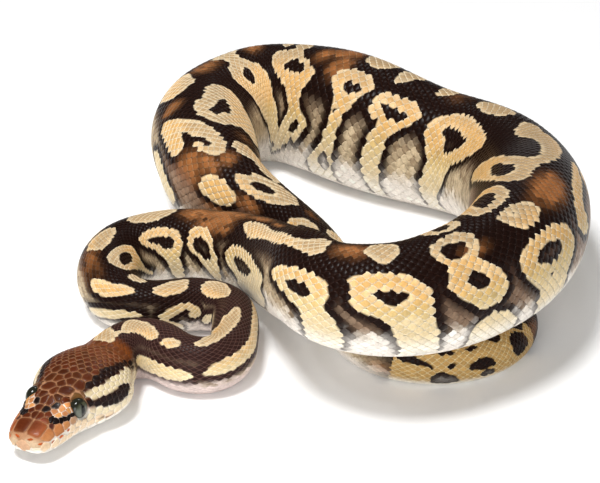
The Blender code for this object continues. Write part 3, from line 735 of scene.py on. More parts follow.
HEAD_INK = inks(
    crown=(78, 34, 13), snout=(84, 34, 12), nape=(106, 56, 28), snout_side=(212, 182, 148),
    loreal=(186, 128, 74), lip=(232, 206, 172), cheek=(228, 212, 178), dark=(26, 13, 11),
    stripe=(204, 186, 148), amber=(154, 84, 40), tawny=(194, 134, 86), pink=(186, 98, 74),
    spot=(22, 12, 11), olive=(108, 72, 36), thin_brown=(120, 78, 52), seam=(178, 130, 94),
    pale_seam=(252, 244, 232), chin=(246, 240, 230), pit=(176, 84, 36), rostral=(204, 162, 128),
    nostril=(70, 34, 26),
)
EYE_INK = inks(iris=(104, 108, 98), upper_iris=(66, 68, 50), rim=(14, 14, 13), pupil=(4, 4, 5))


def head_colours(back, angle):
    """Colour of the plates there, and of the seams between them."""
    shift = 26 * smooth_step(11, 7, back) + 14 * smooth_step(14, 19, back)
    low = np.abs(angle) - shift * smooth_step(0, -14, angle)
    crown = blend(HEAD_INK["snout"][None, :], HEAD_INK["crown"], smooth_step(8, 14, back))
    crown = blend(crown, HEAD_INK["nape"], 0.75 * smooth_step(28, 38, back))
    side = blend(HEAD_INK["lip"][None, :], HEAD_INK["cheek"], smooth_step(14, 20, back))
    side = blend(side, HEAD_INK["chin"], smooth_step(94, 114, low))
    colour = blend(crown, side, smooth_step(72, 82, low + 4 * smooth_step(30, 36, back)))
    seam = blend(HEAD_INK["seam"][None, :], HEAD_INK["pale_seam"], smooth_step(60, 84, low))
    for name, softness, outline in HEAD_PAINT:
        outline = rounded(outline)
        scale = float(FORM.around(outline[:, 0].mean() - HEAD_LENGTH))
        inside = distance_inside(np.column_stack([back, low * scale]), outline * (1, scale))
        share = smooth_step(-softness, softness, inside)
        colour = blend(colour, HEAD_INK[name], share)
        if name == "dark":
            seam = blend(seam, HEAD_INK["dark"] * 2.6, share * 0.9)
        elif name == "snout_side":
            seam = blend(seam, HEAD_INK["snout_side"], share)
        elif name in ("stripe", "cheek", "lip", "loreal"):
            seam = blend(seam, HEAD_INK["pale_seam"], share)
    return colour, seam


def side_angle(back, up):
    """The angle at which the side of the head is this high above the floor."""
    angle = np.linspace(20, 170, 301)
    height = FORM.place(np.full(301, back - HEAD_LENGTH), angle)[:, 2]
    return float(np.interp(-up, -height, angle))


def plate_seeds():
    """Middles of the head's plates: place, reach, distance behind the tip, angle, kind."""
    seeds = [(*head_place(0.0, 0.0, 5.0), 1.5, 0.2, 0.0, ROSTRAL)]
    for side in (1, -1):
        spots = [(back, angle, reach, NAMED) for back, angle, reach in NAMED_PLATES]
        for back in LIP_PLATES:
            gap = 1.1 + 0.25 * smooth_step(16, 30, back)
            spots.append((back, side_angle(back, mouth_height(back) + gap), 1.2, LIP))
            spots.append((back - 0.9, side_angle(back - 0.9, mouth_height(back) - gap), 1.15, LIP))
        spots += [(*plate, DARK) for plate in DARK_PLATES]
        spots += [(back, angle, reach * 0.6, PIT) for back, angle, reach, _ in PITS]
        spots += [(back, angle, reach * 0.8, NOSTRIL) for back, angle, reach, _ in NOSTRILS]
        for back, angle, reach, kind in spots:
            place = head_surface(back, side * angle)
            seeds.append((*place, reach, back, side * angle, kind))
        eye_back, _, eye_up = head_coordinates(EYES[side])
        for turn in np.arange(10) / 10 * 2 * math.pi + 0.3:
            back = eye_back + (EYE_RIM + 0.7) * math.cos(turn)
            angle = side * side_angle(back, eye_up + (EYE_RIM + 0.7) * math.sin(turn))
            place = head_surface(back, angle)
            seeds.append((*place, 0.72, back, angle, EYE_RING))
        seeds.append((*EYES[side], EYE_RIM - 0.1, eye_back, side * 60.0, EYE))
    placed = np.array([seed[:4] for seed in seeds])
    back, row = 0.9, 0
    while back < HEAD_LENGTH + 0.6:
        spacing = np.interp(back, *np.array(SPACING).T)
        count = int(360 * FORM.around(back - HEAD_LENGTH) / (spacing * 1.04)) // 2 * 2
        for k in range(count):
            angle = (k + 0.5 * (row % 2)) * 360 / count
            angle = (angle + 180) % 360 - 180
            place = head_surface(back, angle)
            if back < 1.8 and abs(angle) < 75:
                continue
            clear = np.linalg.norm(placed[:, :3] - place, axis=1) - placed[:, 3]
            if clear.min() > spacing * 0.40:
                seeds.append((*place, spacing / 2, back, angle, SMALL))
        back += spacing * 0.88
        row += 1
    return np.array(seeds)


def clipped(polygon, normal, limit):
    """The part of a flat convex polygon where normal . point stays under the limit."""
    kept = []
    for (x0, y0), (x1, y1) in zip(polygon, polygon[1:] + polygon[:1]):
        d0, d1 = normal[0] * x0 + normal[1] * y0 - limit, normal[0] * x1 + normal[1] * y1 - limit
        if d0 <= 0:
            kept.append((x0, y0))
        if (d0 < 0 < d1) or (d1 < 0 < d0):
            share = d0 / (d0 - d1)
            kept.append((x0 + share * (x1 - x0), y0 + share * (y1 - y0)))
    return kept


def plate_outline(number, seeds, normal):
    """Corners of a plate round its seed, where it meets its neighbours, in its own tangent plane."""
    middle, reach = seeds[number, :3], seeds[number, REACH]
    first = np.cross(normal, (0.0, 0.0, 1.0))
    first = first / np.linalg.norm(first) if np.linalg.norm(first) > 0.1 else np.array([1.0, 0.0, 0.0])
    second = np.cross(normal, first)
    away = seeds[:, :3] - middle
    far = np.linalg.norm(away, axis=1)
    span = 1.7 * reach + 0.5
    height = 0.3 if seeds[number, KIND] == PIT else span     # a heat pit is a slit
    polygon = [(span * math.cos(a), height * math.sin(a)) for a in np.arange(12) / 12 * 2 * math.pi]
    for other in np.flatnonzero((far > 1e-6) & (far < reach * 2 + 4.2)):
        flat = np.array([away[other] @ first, away[other] @ second])
        size = np.linalg.norm(flat)
        if size < 0.3:
            continue
        flat *= far[other] / size
        limit = (far[other] ** 2 + reach ** 2 - seeds[other, REACH] ** 2) / 2 - SEAM * far[other]
        polygon = clipped(polygon, flat, limit)
        if len(polygon) < 3:
            return None, None
    points = np.array(polygon)
    after = np.roll(points, -1, axis=0)
    long = np.linalg.norm(after - points, axis=1)
    points = points[long > 0.06]
    if len(points) < 3:
        return None, None
    after = np.roll(points, -1, axis=0)
    points = np.stack([0.84 * points + 0.16 * after, 0.16 * points + 0.84 * after], axis=1).reshape(-1, 2)
    heart = points.mean(axis=0)
    corners = middle + points[:, :1] * first + points[:, 1:] * second
    return corners, middle + heart[0] * first + heart[1] * second


def make_plates(skin, coat):
    """Every plate as a low dome on the skin: mesh, seeds, and each vertex's seed and how far in it lies."""
    corners = [vertex.co / MM for vertex in skin.vertices]
    tree = BVHTree.FromPolygons(corners, [list(face.vertices) for face in skin.polygons])
    seeds = plate_seeds()
    form = bmesh.new()
    owner = form.verts.layers.int.new("owner")
    hearts = {}
    faces = []
    for number, seed in enumerate(seeds):
        if seed[KIND] == EYE:
            continue
        _, normal, _, _ = tree.find_nearest(Vector(seed[:3]))
        outline, heart = plate_outline(number, seeds, np.array(normal))
        if outline is None:
            continue
        corners = [form.verts.new(Vector(point)) for point in outline]
        for corner in corners:
            corner[owner] = number
        hearts[number] = Vector(heart)
        faces.append(form.faces.new(corners))
    lifted = bmesh.ops.extrude_face_region(form, geom=faces)
    faces = [part for part in lifted["geom"] if isinstance(part, bmesh.types.BMFace)]
    share = form.verts.layers.float.new("share")
    ring = {vertex for face in faces for vertex in face.verts}
    for vertex in form.verts:
        vertex[share] = EDGE if vertex in ring else FOOT
    for factor, mark in DOME_RINGS:
        bmesh.ops.inset_individual(form, faces=faces, thickness=0.0)
        for face in faces:
            for vertex in face.verts:
                vertex[share] = mark
                heart = hearts[vertex[owner]]
                vertex.co = heart + (vertex.co - heart) * factor
    peaks = bmesh.ops.poke(form, faces=faces)
    for vertex in peaks["verts"]:
        vertex[owner] = vertex.link_edges[0].other_vert(vertex)[owner]
        vertex[share] = PEAK
    bmesh.ops.recalc_face_normals(form, faces=form.faces[:])
    owners = np.array([vertex[owner] for vertex in form.verts])
    shares = np.array([round(vertex[share], 2) for vertex in form.verts])
    for vertex, inward in zip(form.verts, shares):
        place, normal, _, _ = tree.find_nearest(vertex.co)
        back, _, _ = head_coordinates(np.array(place)[None, :])
        height = float(coat_depth(back - HEAD_LENGTH, coat)[0]) * LIFT[float(inward)]
        place = place + normal * height
        place.z = max(place.z, ABOVE_FLOOR)
        vertex.co = place * MM
    return form, seeds, owners, shares


def head_angle(points):
    """Distance behind the tip and the angle round the head, for points on it."""
    back, left, up = head_coordinates(points)
    _, _, _, _, half_width, top, widest, underside, square = FORM.read(back - HEAD_LENGTH)
    power = 1 / square
    across = np.sign(left) * np.clip(np.abs(left) / half_width, 0, 1) ** power
    above = np.clip((up - widest) / (top - widest), 0, 1) ** power
    below = np.clip((widest - up) / (widest - underside), 0, 1) ** power
    return back, np.degrees(np.arctan2(across, np.where(up >= widest, above, -below)))


# ---------------------------------------------------------------- meshes

def new_piece(name, form, materials):
    """The object of a finished bmesh."""
    mesh = bpy.data.meshes.new(name)
    form.to_mesh(mesh)
    form.free()
    return dress(name, mesh, materials)


def added(name, data):
    """A new object in the scene that holds a mesh, a lamp or a camera."""
    made = bpy.data.objects.new(name, data)
    bpy.context.scene.collection.objects.link(made)
    return made


def dress(name, mesh, materials):
    """A mesh's object, with its finishes and slot, riding on the root body."""
    for finish in materials:
        mesh.materials.append(finish)
    mesh.shade_smooth()
    piece = added(name, mesh)
    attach(piece, "root")
    return piece


def set_colours(mesh, colours, name="markings"):
    """Stores one linear colour for every vertex."""
    layer = mesh.color_attributes.new(name, "FLOAT_COLOR", "POINT")
    values = np.ones((len(mesh.vertices), 4), np.float32)
    values[:, :3] = colours
    layer.data.foreach_set("color", values.ravel())


def set_markings(mesh, ground, blotch, inside):
    """Stores the colours of ground and blotch, and how far each vertex lies inside a blotch."""
    set_colours(mesh, ground, "ground")
    set_colours(mesh, blotch, "blotch")
    layer = mesh.attributes.new("inside", "FLOAT", "POINT")
    layer.data.foreach_set("value", np.asarray(inside, np.float32))


def unwrap_by_vertex(form, u, v):
    """Lays a bmesh out on the bake map by one place for each vertex."""
    unwrap = form.loops.layers.uv.new("OFBake")
    for face in form.faces:
        for loop in face.loops:
            loop[unwrap].uv = (u[loop.vert.index], v[loop.vert.index])


def joined_copies(template_faces, vertex_count, places, patches):
    """One mesh of many like pieces: `places` and `patches` are arrays of copies x vertices."""
    copies = len(places)
    faces = []
    sizes = []
    for face in template_faces:
        faces.append(np.array(face)[None, :] + vertex_count * np.arange(copies)[:, None])
        sizes.append(len(face))
    mesh = bpy.data.meshes.new("scales")
    mesh.vertices.add(copies * vertex_count)
    mesh.vertices.foreach_set("co", (places.reshape(-1, 3) * MM).astype(np.float32).ravel())
    corners = np.concatenate([block.ravel() for block in faces])
    totals = np.concatenate([np.full(copies, size) for size in sizes])
    mesh.loops.add(len(corners))
    mesh.loops.foreach_set("vertex_index", corners.astype(np.int32))
    mesh.polygons.add(len(totals))
    starts = np.concatenate([[0], np.cumsum(totals)[:-1]])
    mesh.polygons.foreach_set("loop_start", starts.astype(np.int32))
    mesh.update(calc_edges=True)
    mesh.validate()
    unwrap = mesh.uv_layers.new(name="OFBake")
    unwrap.data.foreach_set("uv", patches.reshape(-1, 2)[corners].astype(np.float32).ravel())
    return mesh


# ---------------------------------------------------------------- skin

def skin_rows():
    """Distances along for the skin's rings, and how far each opens. They are closer on the head."""
    head = np.arange(-HEAD_LENGTH + 0.45, -1.0, HEAD_STEP)
    body = np.arange(-1.0, FORM.end - TAIL_END, BODY_STEP)
    tip = FORM.end - TAIL_END + TAIL_END * np.sin(np.linspace(0, math.pi / 2, 12))
    along = np.concatenate([[head[0]] * 3, head, body, tip])
    opening = np.ones(len(along))
    opening[:3] = 0.0, 0.45, 0.85
    opening[-1] = 0.0
    return along, opening


def carve_head(points, normals):
    """Moves the skin of the head in and out: mouth line, eye rims, brows, heat pits and nostrils."""
    back, left, up = head_coordinates(points)
    on_head = smooth_step(HEAD_LENGTH - 1.0, HEAD_LENGTH - 6.0, back)
    rise = np.zeros(len(points))
    lip = bell(up - mouth_height(back), 0.32) * smooth_step(32.0, 29.0, back) * (np.abs(normals[:, 2]) < 0.9)
    rise -= 0.55 * lip
    for side, centre in EYES.items():
        eye_back, _, eye_up = head_coordinates(centre)
        from_eye = np.hypot(back - eye_back, up - eye_up)
        near = (left * side > 0)
        rise += near * (0.42 + 0.22 * smooth_step(0, 2.5, up - eye_up)) * bell(from_eye - EYE_RIM - 0.45, 0.7)
        rise -= near * 0.5 * smooth_step(EYE_RIM, EYE_RIM - 0.9, from_eye)
    for place, reach, depth in HOLLOWS:
        away = np.linalg.norm((points - place) / reach, axis=1)
        rise -= depth * np.exp(-(away ** 2))
    return points + normals * (rise * on_head)[:, None]


def make_skin_form(coat):
    """One closed skin from snout to tail, inside the solids by the coat's depth."""
    along, opening = skin_rows()
    rows, ring = len(along), SKIN_RING
    form = bmesh.new()
    bmesh.ops.create_grid(form, x_segments=rows - 1, y_segments=ring, size=1.0)
    form.verts.ensure_lookup_table()
    co = np.array([v.co[:2] for v in form.verts])
    i = np.rint((co[:, 0] + 1) / 2 * (rows - 1)).astype(int)
    j = np.rint((co[:, 1] + 1) / 2 * ring).astype(int)
    s, angle = along[i], -180 + 360 * j / ring
    depth = coat_depth(s, coat)
    points = FORM.place(s, angle, depth)
    normals = FORM.outward(s, angle)
    points = carve_head(points, normals)
    core = FORM.core(s)
    points = core + (points - core) * opening[i][:, None]
    points[:, :2] -= np.array(FACING) * (-0.25 * (1 - opening[i]) * (s < -HEAD_LENGTH / 2))[:, None]
    for vertex, point in zip(form.verts, points):
        vertex.co = point * MM
    unwrap_by_vertex(form, (s - along[0]) / (along[-1] - along[0]), j / ring)
    run = form.verts.layers.float.new("along")
    turn = form.verts.layers.float.new("angle")
    for vertex, place, degrees in zip(form.verts, s, angle):
        vertex[run] = place
        vertex[turn] = degrees
    bmesh.ops.remove_doubles(form, verts=form.verts, dist=1e-6)
    bmesh.ops.recalc_face_normals(form, faces=form.faces[:])
    where = np.array([(vertex[run], vertex[turn]) for vertex in form.verts])
    return form, where


def coat_depth(along, coat):
    """The coat thins on the neck, the face and the tail."""
    half_width = FORM.read(along)[4]
    return coat * np.clip(half_width / 12.0, 0.3, 1.0)


# ---------------------------------------------------------------- scales of the body

def thickened(form):
    """Raises a flat sheet by one, which leaves sides and an underside."""
    grown = bmesh.ops.extrude_face_region(form, geom=form.faces[:])
    upper = [part for part in grown["geom"] if isinstance(part, bmesh.types.BMVert)]
    bmesh.ops.translate(form, verts=upper, vec=(0, 0, 1))


def scale_template():
    """One scale with eight corners and a raised crest: places as (along, across, height), and its faces."""
    outline = (
        (-0.35, 0.34), (-0.08, 0.93), (0.12, 0.95), (0.43, 0.36),
        (0.43, -0.36), (0.12, -0.95), (-0.08, -0.93), (-0.35, -0.34),
    )
    crest = (
        (-0.49, 0.07), (-0.08, 0.94), (0.12, 0.96), (0.59, 0.07),
        (0.59, -0.07), (0.12, -0.96), (-0.08, -0.94), (-0.49, -0.07),
    )
    form = bmesh.new()
    bmesh.ops.create_circle(form, cap_ends=True, radius=1.0, segments=len(outline))
    thickened(form)
    top = [f for f in form.faces if all(v.co.z > 0.5 for v in f.verts)]
    bmesh.ops.inset_region(form, faces=top, thickness=0.3)
    form.faces.ensure_lookup_table()
    inner = [f for f in form.faces if all(math.hypot(v.co.x, v.co.y) < 0.9 for v in f.verts)]
    bmesh.ops.poke(form, faces=inner)
    bmesh.ops.recalc_face_normals(form, faces=form.faces[:])
    form.verts.index_update()
    places, faces = [], [[v.index for v in f.verts] for f in form.faces]
    for vertex in form.verts:
        reach = math.hypot(vertex.co.x, vertex.co.y)
        if reach < 0.1:
            places.append((0.04, 0.0, 1.0))
            continue
        # The circle starts on its Y axis.
        turn = math.atan2(vertex.co.y, vertex.co.x) / (2 * math.pi) - 0.25
        corner = round(turn * len(outline)) % len(outline)
        u, v = outline[corner]
        if vertex.co.z < 0.5:
            places.append((u * 0.9, v * 0.9, -0.4))
        elif reach > 0.9:
            places.append((u, v, 0.42 + 0.48 * (u + 0.5)))
        else:
            u, v = crest[corner]
            places.append((u * 0.66 + 0.03, v * 0.66, 0.84 + 0.2 * u))
    form.free()
    return np.array(places), faces


def scute_template():
    """One belly scute: along, across from -1 to 1, and height."""
    form = bmesh.new()
    bmesh.ops.create_grid(form, x_segments=3, y_segments=10, size=1.0)
    thickened(form)
    bmesh.ops.recalc_face_normals(form, faces=form.faces[:])
    form.verts.index_update()
    faces = [[v.index for v in f.verts] for f in form.faces]
    places = []
    for vertex in form.verts:
        u = vertex.co.x
        height = 0.42 + 0.5 * (u + 1) / 2 if vertex.co.z > 0.5 else -0.4
        places.append((u * 0.56 + 0.04, vertex.co.y, height))
    form.free()
    return np.array(places), faces


FIRST_SCALE = -2.0        # the scales start this far along, under the last plates of the head
TAIL = 600.0              # where the tail starts
SCUTES_END = 640          # pieces that start beyond this have no scutes
PIECE_LENGTH = 60         # length of body covered by one piece
LEAN = 0.5                # how far a scale's colours lean to the colour at its root
# The rows drop out down the tail: the end of each zone, and its share of the rows.
ZONES = ((612.0, 1.0), (636.0, 0.8), (658.0, 0.62), (678.0, 0.46), (692.0, 0.34), (FORM.end, 0.26))


class Lattice:
    """Where the scales sit: columns run tailward at the pitch of the belly scutes, rows round the body."""

    def __init__(self, pitch, rows, belly):
        self.belly = belly
        fine = np.arange(FIRST_SCALE, FORM.end, 0.25)
        neck = smooth_step(FIRST_SCALE, 150.0, fine)
        tail = smooth_step(TAIL, FORM.end, fine)
        spacing = pitch * (0.74 + 0.26 * neck) * (1 - 0.6 * tail)
        outside = 0.65 * np.abs(FORM.bend(fine)) * FORM.read(fine)[4]
        count = np.concatenate([[0], np.cumsum(((1 + outside) / spacing)[:-1] * np.diff(fine))])
        self.fine, self.count = fine, count
        self.columns = int(count[-1])
        self.rows = rows

    def along(self, column):
        return np.interp(column, self.count, self.fine)

    def zones(self):
        """Stretches with their own odd number of rows."""
        start = FIRST_SCALE
        for end, share in ZONES:
            yield start, end, int(round(self.rows * share)) // 2 * 2 + 1
            start = end


def lay_scales(lattice, start, end, jitter):
    """Column and angle of every scale whose root lies between two distances, and its width in degrees."""
    found = []
    for zone_start, zone_end, rows in lattice.zones():
        width = 2 * (180 - lattice.belly) / rows
        first, last = np.interp([max(start, zone_start), min(end, zone_end)], lattice.fine, lattice.count)
        if last <= first:
            continue
        for row in range(rows):
            shift = 0.5 * (row % 2)
            columns = np.arange(math.ceil(first - shift), last - shift) + shift
            angle = -(180 - lattice.belly) + (row + 0.5) * width
            for column in columns:
                found.append((column, angle, width))
    found = np.array(found)
    found[:, 0] += jitter.normal(0, 0.015, len(found))
    found[:, 1] += jitter.normal(0, 0.02, len(found)) * found[:, 2]
    return found


def shape_scales(lattice, roots, template, coat):
    """Points of all the scales, bent to the form: copies x vertices x 3, with their places on the animal."""
    column = roots[:, 0, None] + template[None, :, 0]
    along = np.clip(lattice.along(column), -3.0, FORM.end - 0.05)
    angle = roots[:, 1, None] + template[None, :, 1] * roots[:, 2, None]
    depth = coat_depth(along, coat)
    flatter = 1 - 0.7 * smooth_step(50, 110, np.abs(angle)) * (template[None, :, 2] > 0)
    sink = depth * (1 - template[None, :, 2]) * flatter
    flat_along, flat_angle, flat_sink = along.ravel(), angle.ravel(), sink.ravel()
    points = FORM.place(flat_along, flat_angle) - FORM.outward(flat_along, flat_angle) * flat_sink[:, None]
    points[:, 2] = np.maximum(points[:, 2], ABOVE_FLOOR)
    return points.reshape(*along.shape, 3), along, angle


def patches_of(roots_along, roots_angle, template, start, end):
    """A small patch of the bake map for each scale, at its root's place on an unwrap of the skin."""
    u = 0.01 + 0.98 * (roots_along - start) / (end - start)
    v = 0.01 + 0.98 * (roots_angle + 180) / 360
    spread = PATCH * template[None, :, :2] / np.abs(template[:, :2]).max(axis=0)[None, None, :] / 2
    return np.stack([u, v], axis=-1)[:, None, :] + spread


# ---------------------------------------------------------------- finishes

def node_of(finish, kind, place=(0, 0), **values):
    """A shader node with some of its sockets set, by name."""
    node = finish.node_tree.nodes.new(kind)
    node.location = place
    for name, value in values.items():
        node.inputs[name.replace("_", " ")].default_value = value
    return node


def blotched(finish, ground, edge):
    """Adds the mix of ground and blotch, which turns over sharply where the blotch begins."""
    link = finish.node_tree.links.new
    blotch = node_of(finish, "ShaderNodeAttribute", (-900, 500))
    blotch.attribute_name = "blotch"
    inside = node_of(finish, "ShaderNodeAttribute", (-900, 700))
    inside.attribute_name = "inside"
    turn = node_of(finish, "ShaderNodeMapRange", (-600, 700), From_Min=-edge, From_Max=edge)
    both = finish.node_tree.nodes.new("ShaderNodeMix")
    both.data_type = "RGBA"
    both.location = (-300, 500)
    link(inside.outputs["Fac"], turn.inputs["Value"])
    link(turn.outputs["Result"], both.inputs[0])
    link(ground.outputs["Color"], both.inputs[6])
    link(blotch.outputs["Color"], both.inputs[7])
    return both.outputs[2]


def blank_finish(name):
    """A new finish with no nodes, and what links its sockets."""
    finish = bpy.data.materials.new(name)
    finish.use_nodes = True
    finish.node_tree.nodes.clear()
    return finish, finish.node_tree.links.new


def marked_finish(name, marks_name, roughness, shine, coat, grain, grain_size):
    """A glossy hide coloured by the markings, with fine grain in its colour, gloss and relief."""
    finish, link = blank_finish(name)
    out = node_of(finish, "ShaderNodeOutputMaterial", (900, 0))
    hide = node_of(finish, "ShaderNodeBsdfPrincipled", (600, 0), IOR=1.45, Specular_IOR_Level=shine,
                   Coat_Weight=coat, Coat_Roughness=0.14)
    where = node_of(finish, "ShaderNodeTexCoord", (-900, 0))
    marks = node_of(finish, "ShaderNodeAttribute", (-600, 300))
    marks.attribute_name = marks_name
    painted = blotched(finish, marks, 0.12) if marks_name == "ground" else marks.outputs["Color"]
    speckle = node_of(finish, "ShaderNodeTexNoise", (-600, 0), Scale=grain_size, Detail=3.0, Roughness=0.6)
    tint = node_of(finish, "ShaderNodeMapRange", (-300, 0), From_Min=0.3, From_Max=0.7,
                   To_Min=0.88, To_Max=1.12)
    colour = node_of(finish, "ShaderNodeVectorMath", (0, 300))
    colour.operation = "MULTIPLY"
    gloss = node_of(finish, "ShaderNodeMapRange", (-300, -250), From_Min=0.3, From_Max=0.7,
                    To_Min=roughness - 0.07, To_Max=roughness + 0.09)
    relief = node_of(finish, "ShaderNodeBump", (300, -300), Strength=grain, Distance=0.0001)
    link(where.outputs["Object"], speckle.inputs["Vector"])
    link(speckle.outputs["Fac"], tint.inputs["Value"])
    link(speckle.outputs["Fac"], gloss.inputs["Value"])
    link(speckle.outputs["Fac"], relief.inputs["Height"])
    link(painted, colour.inputs[0])
    link(tint.outputs["Result"], colour.inputs[1])
    link(colour.outputs["Vector"], hide.inputs["Base Color"])
    link(gloss.outputs["Result"], hide.inputs["Roughness"])
    link(relief.outputs["Normal"], hide.inputs["Normal"])
    link(hide.outputs["BSDF"], out.inputs["Surface"])
    return finish


def finishes():
    """The hide's finishes, made once and shared."""
    made = {}
    for name, settings in {
        "skin_hide": ("ground", 0.62, 0.2, 0.0, 0.5, 2600.0),
        "scale_hide": ("ground", 0.34, 0.06, 0.03, 0.25, 1500.0),
        "plate_hide": ("markings", 0.38, 0.10, 0.07, 0.25, 1500.0),
        "eye_glass": ("markings", 0.10, 0.2, 0.22, 0.0, 900.0),
    }.items():
        made[name] = bpy.data.materials.get(name) or marked_finish(name, *settings)
    return made


def floor_finish(shade):
    """Matt paper that glows a little, in two shades of the floor's colour."""
    finish, link = blank_finish("floor_paper")
    out = node_of(finish, "ShaderNodeOutputMaterial", (600, 0))
    paper = node_of(finish, "ShaderNodeBsdfPrincipled", (300, 0), Roughness=0.85)
    where = node_of(finish, "ShaderNodeTexCoord", (-600, 0))
    fibre = node_of(finish, "ShaderNodeTexNoise", (-300, 0), Scale=60.0, Detail=4.0)
    tone = node_of(finish, "ShaderNodeValToRGB", (0, 0))
    tone.color_ramp.elements[0].color = (*(shade[:3] * np.array(0.97)), 1.0)
    tone.color_ramp.elements[1].color = (*shade[:3], 1.0)
    paper.inputs["Emission Color"].default_value = (1.0, 1.0, 1.0, 1.0)
    paper.inputs["Emission Strength"].default_value = FLOOR_GLOW
    link(where.outputs["Object"], fibre.inputs["Vector"])
    link(fibre.outputs["Fac"], tone.inputs["Fac"])
    link(tone.outputs["Color"], paper.inputs["Base Color"])
    link(paper.outputs["BSDF"], out.inputs["Surface"])
    return finish


# ---------------------------------------------------------------- settings

class CoatSettings(bpy.types.PropertyGroup):
    depth: FloatProperty(name="Coat Depth", description="Height of the scales over the skin, at the thickest",
                         default=0.00038, min=0.0001, max=0.001, unit="LENGTH", subtype="DISTANCE")
    pitch: FloatProperty(name="Scale Pitch", description="Distance from one scale to the next along the body",
                         default=0.003, min=0.0015, max=0.006, unit="LENGTH", subtype="DISTANCE")
    rows: IntProperty(name="Scale Rows", description="Rows of scales round the body between the belly scutes",
                      default=57, min=21, max=81)
    belly: FloatProperty(name="Belly Half Angle", description="Half width of the scutes, from the middle",
                         default=math.radians(41), min=0.2, max=1.2, unit="ROTATION", subtype="ANGLE")
    jitter_seed: IntProperty(name="Seed", description="Changes the small unevenness of the scales", default=7)


class StageSettings(bpy.types.PropertyGroup):
    floor: FloatVectorProperty(name="Floor", description="Colour of the floor", default=(0.93, 0.93, 0.93),
                               size=3, min=0, max=1, subtype="COLOR")
    elevation: FloatProperty(name="Elevation", description="Angle of the camera above the floor",
                             default=math.radians(27), unit="ROTATION", subtype="ANGLE")
    distance: FloatProperty(name="Distance", description="From the camera to what it looks at",
                            default=0.64, unit="LENGTH", subtype="DISTANCE")
    field: FloatProperty(name="Field of View", description="Width of the camera's view",
                         default=math.radians(15.6), unit="ROTATION", subtype="ANGLE")


def coat_settings():
    return bpy.context.scene.snake_coat


# ---------------------------------------------------------------- operators

class MakeSkin(bpy.types.Operator):
    """Makes the skin that the scales lie on, from the snout to the tip of the tail."""
    bl_idname = "ball_python.make_skin"
    bl_label = "Make Skin"

    def execute(self, context):
        form, where = make_skin_form(coat_settings().depth / MM)
        skin = new_piece("skin", form, [finishes()["skin_hide"]])
        none = np.zeros(len(where))
        (_, dark, _, pale), inside = body_colours(np.maximum(where[:, 0], 0), where[:, 1], none, none)
        _, seam = head_colours(np.clip(where[:, 0], -HEAD_LENGTH, 0) + HEAD_LENGTH, where[:, 1])
        on_head = smooth_step(1.5, -1.5, where[:, 0])
        inside = np.where(on_head > 0.5, -1.0, inside)
        set_markings(skin.data, blend(dark * 0.8, seam * 0.9, on_head), pale * 0.92, inside)
        flesh = [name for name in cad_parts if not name.startswith("eye")]
        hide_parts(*flesh)
        return {"FINISHED"}


class MakeScales(bpy.types.Operator):
    """Lays the rows of body scales and the belly scutes over the skin."""
    bl_idname = "ball_python.make_scales"
    bl_label = "Make Scales"

    def execute(self, context):
        coat = coat_settings()
        depth = coat.depth / MM
        lattice = Lattice(coat.pitch / MM, coat.rows, math.degrees(coat.belly))
        chance = np.random.default_rng(coat.jitter_seed)
        finish = finishes()["scale_hide"]
        template, faces = scale_template()
        inner = (np.hypot(template[:, 0] / 0.6, template[:, 1] / 0.93) < 0.78) & (template[:, 2] >= 0)
        ring = np.where(inner, 0.92, 0.0)
        scute, scute_faces = scute_template()
        ends = [FIRST_SCALE, *range(PIECE_LENGTH, int(FORM.end), PIECE_LENGTH), FORM.end]
        for number, (start, end) in enumerate(zip(ends, ends[1:]), 1):
            roots = lay_scales(lattice, start, end, chance)
            points, run, turn = shape_scales(lattice, roots, template, depth)
            along = lattice.along(roots[:, 0])
            patches = patches_of(along, roots[:, 1], template, start, end)
            mesh = joined_copies(faces, len(template), points, patches)
            self.paint(mesh, along, roots[:, 1], run, turn, ring, chance)
            dress(f"scales_{number:02d}", mesh, [finish])
            if start < SCUTES_END:
                mesh = self.lay_scutes(lattice, start, end, depth, scute, scute_faces, chance)
                dress(f"scutes_{number:02d}", mesh, [finish])
        return {"FINISHED"}

    def paint(self, mesh, along, angle, run, turn, ring, chance):
        """Colours of every vertex: each scale leans to the colour at its root, with a paler rim."""
        run = LEAN * along[:, None] + (1 - LEAN) * run
        turn = LEAN * angle[:, None] + (1 - LEAN) * turn
        turn = (turn + 180) % 360 - 180
        tone = np.repeat(chance.normal(0, 1, (len(along), 1)), run.shape[1], axis=1)
        speck = chance.normal(0, 1, run.size)
        parts, inside = body_colours(run.ravel(), turn.ravel(), tone.ravel(), speck)
        inward = np.tile(ring, len(along))
        set_markings(mesh, blend(parts[1], parts[0], inward), blend(parts[3], parts[2], inward), inside)

    def lay_scutes(self, lattice, start, end, depth, template, faces, chance):
        """One row of wide scutes along the belly; the lattice's first column has none."""
        first, last = np.interp([start, end], lattice.fine, lattice.count)
        columns = np.arange(max(math.ceil(first), 1), last)
        below = np.full(len(columns), 180.0)
        roots = np.column_stack([columns, below, np.full(len(columns), lattice.belly + 1.5)])
        points, run, turn = shape_scales(lattice, roots, template, depth)
        along = lattice.along(columns)
        mesh = joined_copies(faces, len(template), points, patches_of(along, below - 2, template, start, end))
        self.paint(mesh, along, below, run, turn, np.ones(len(template)), chance)
        return mesh


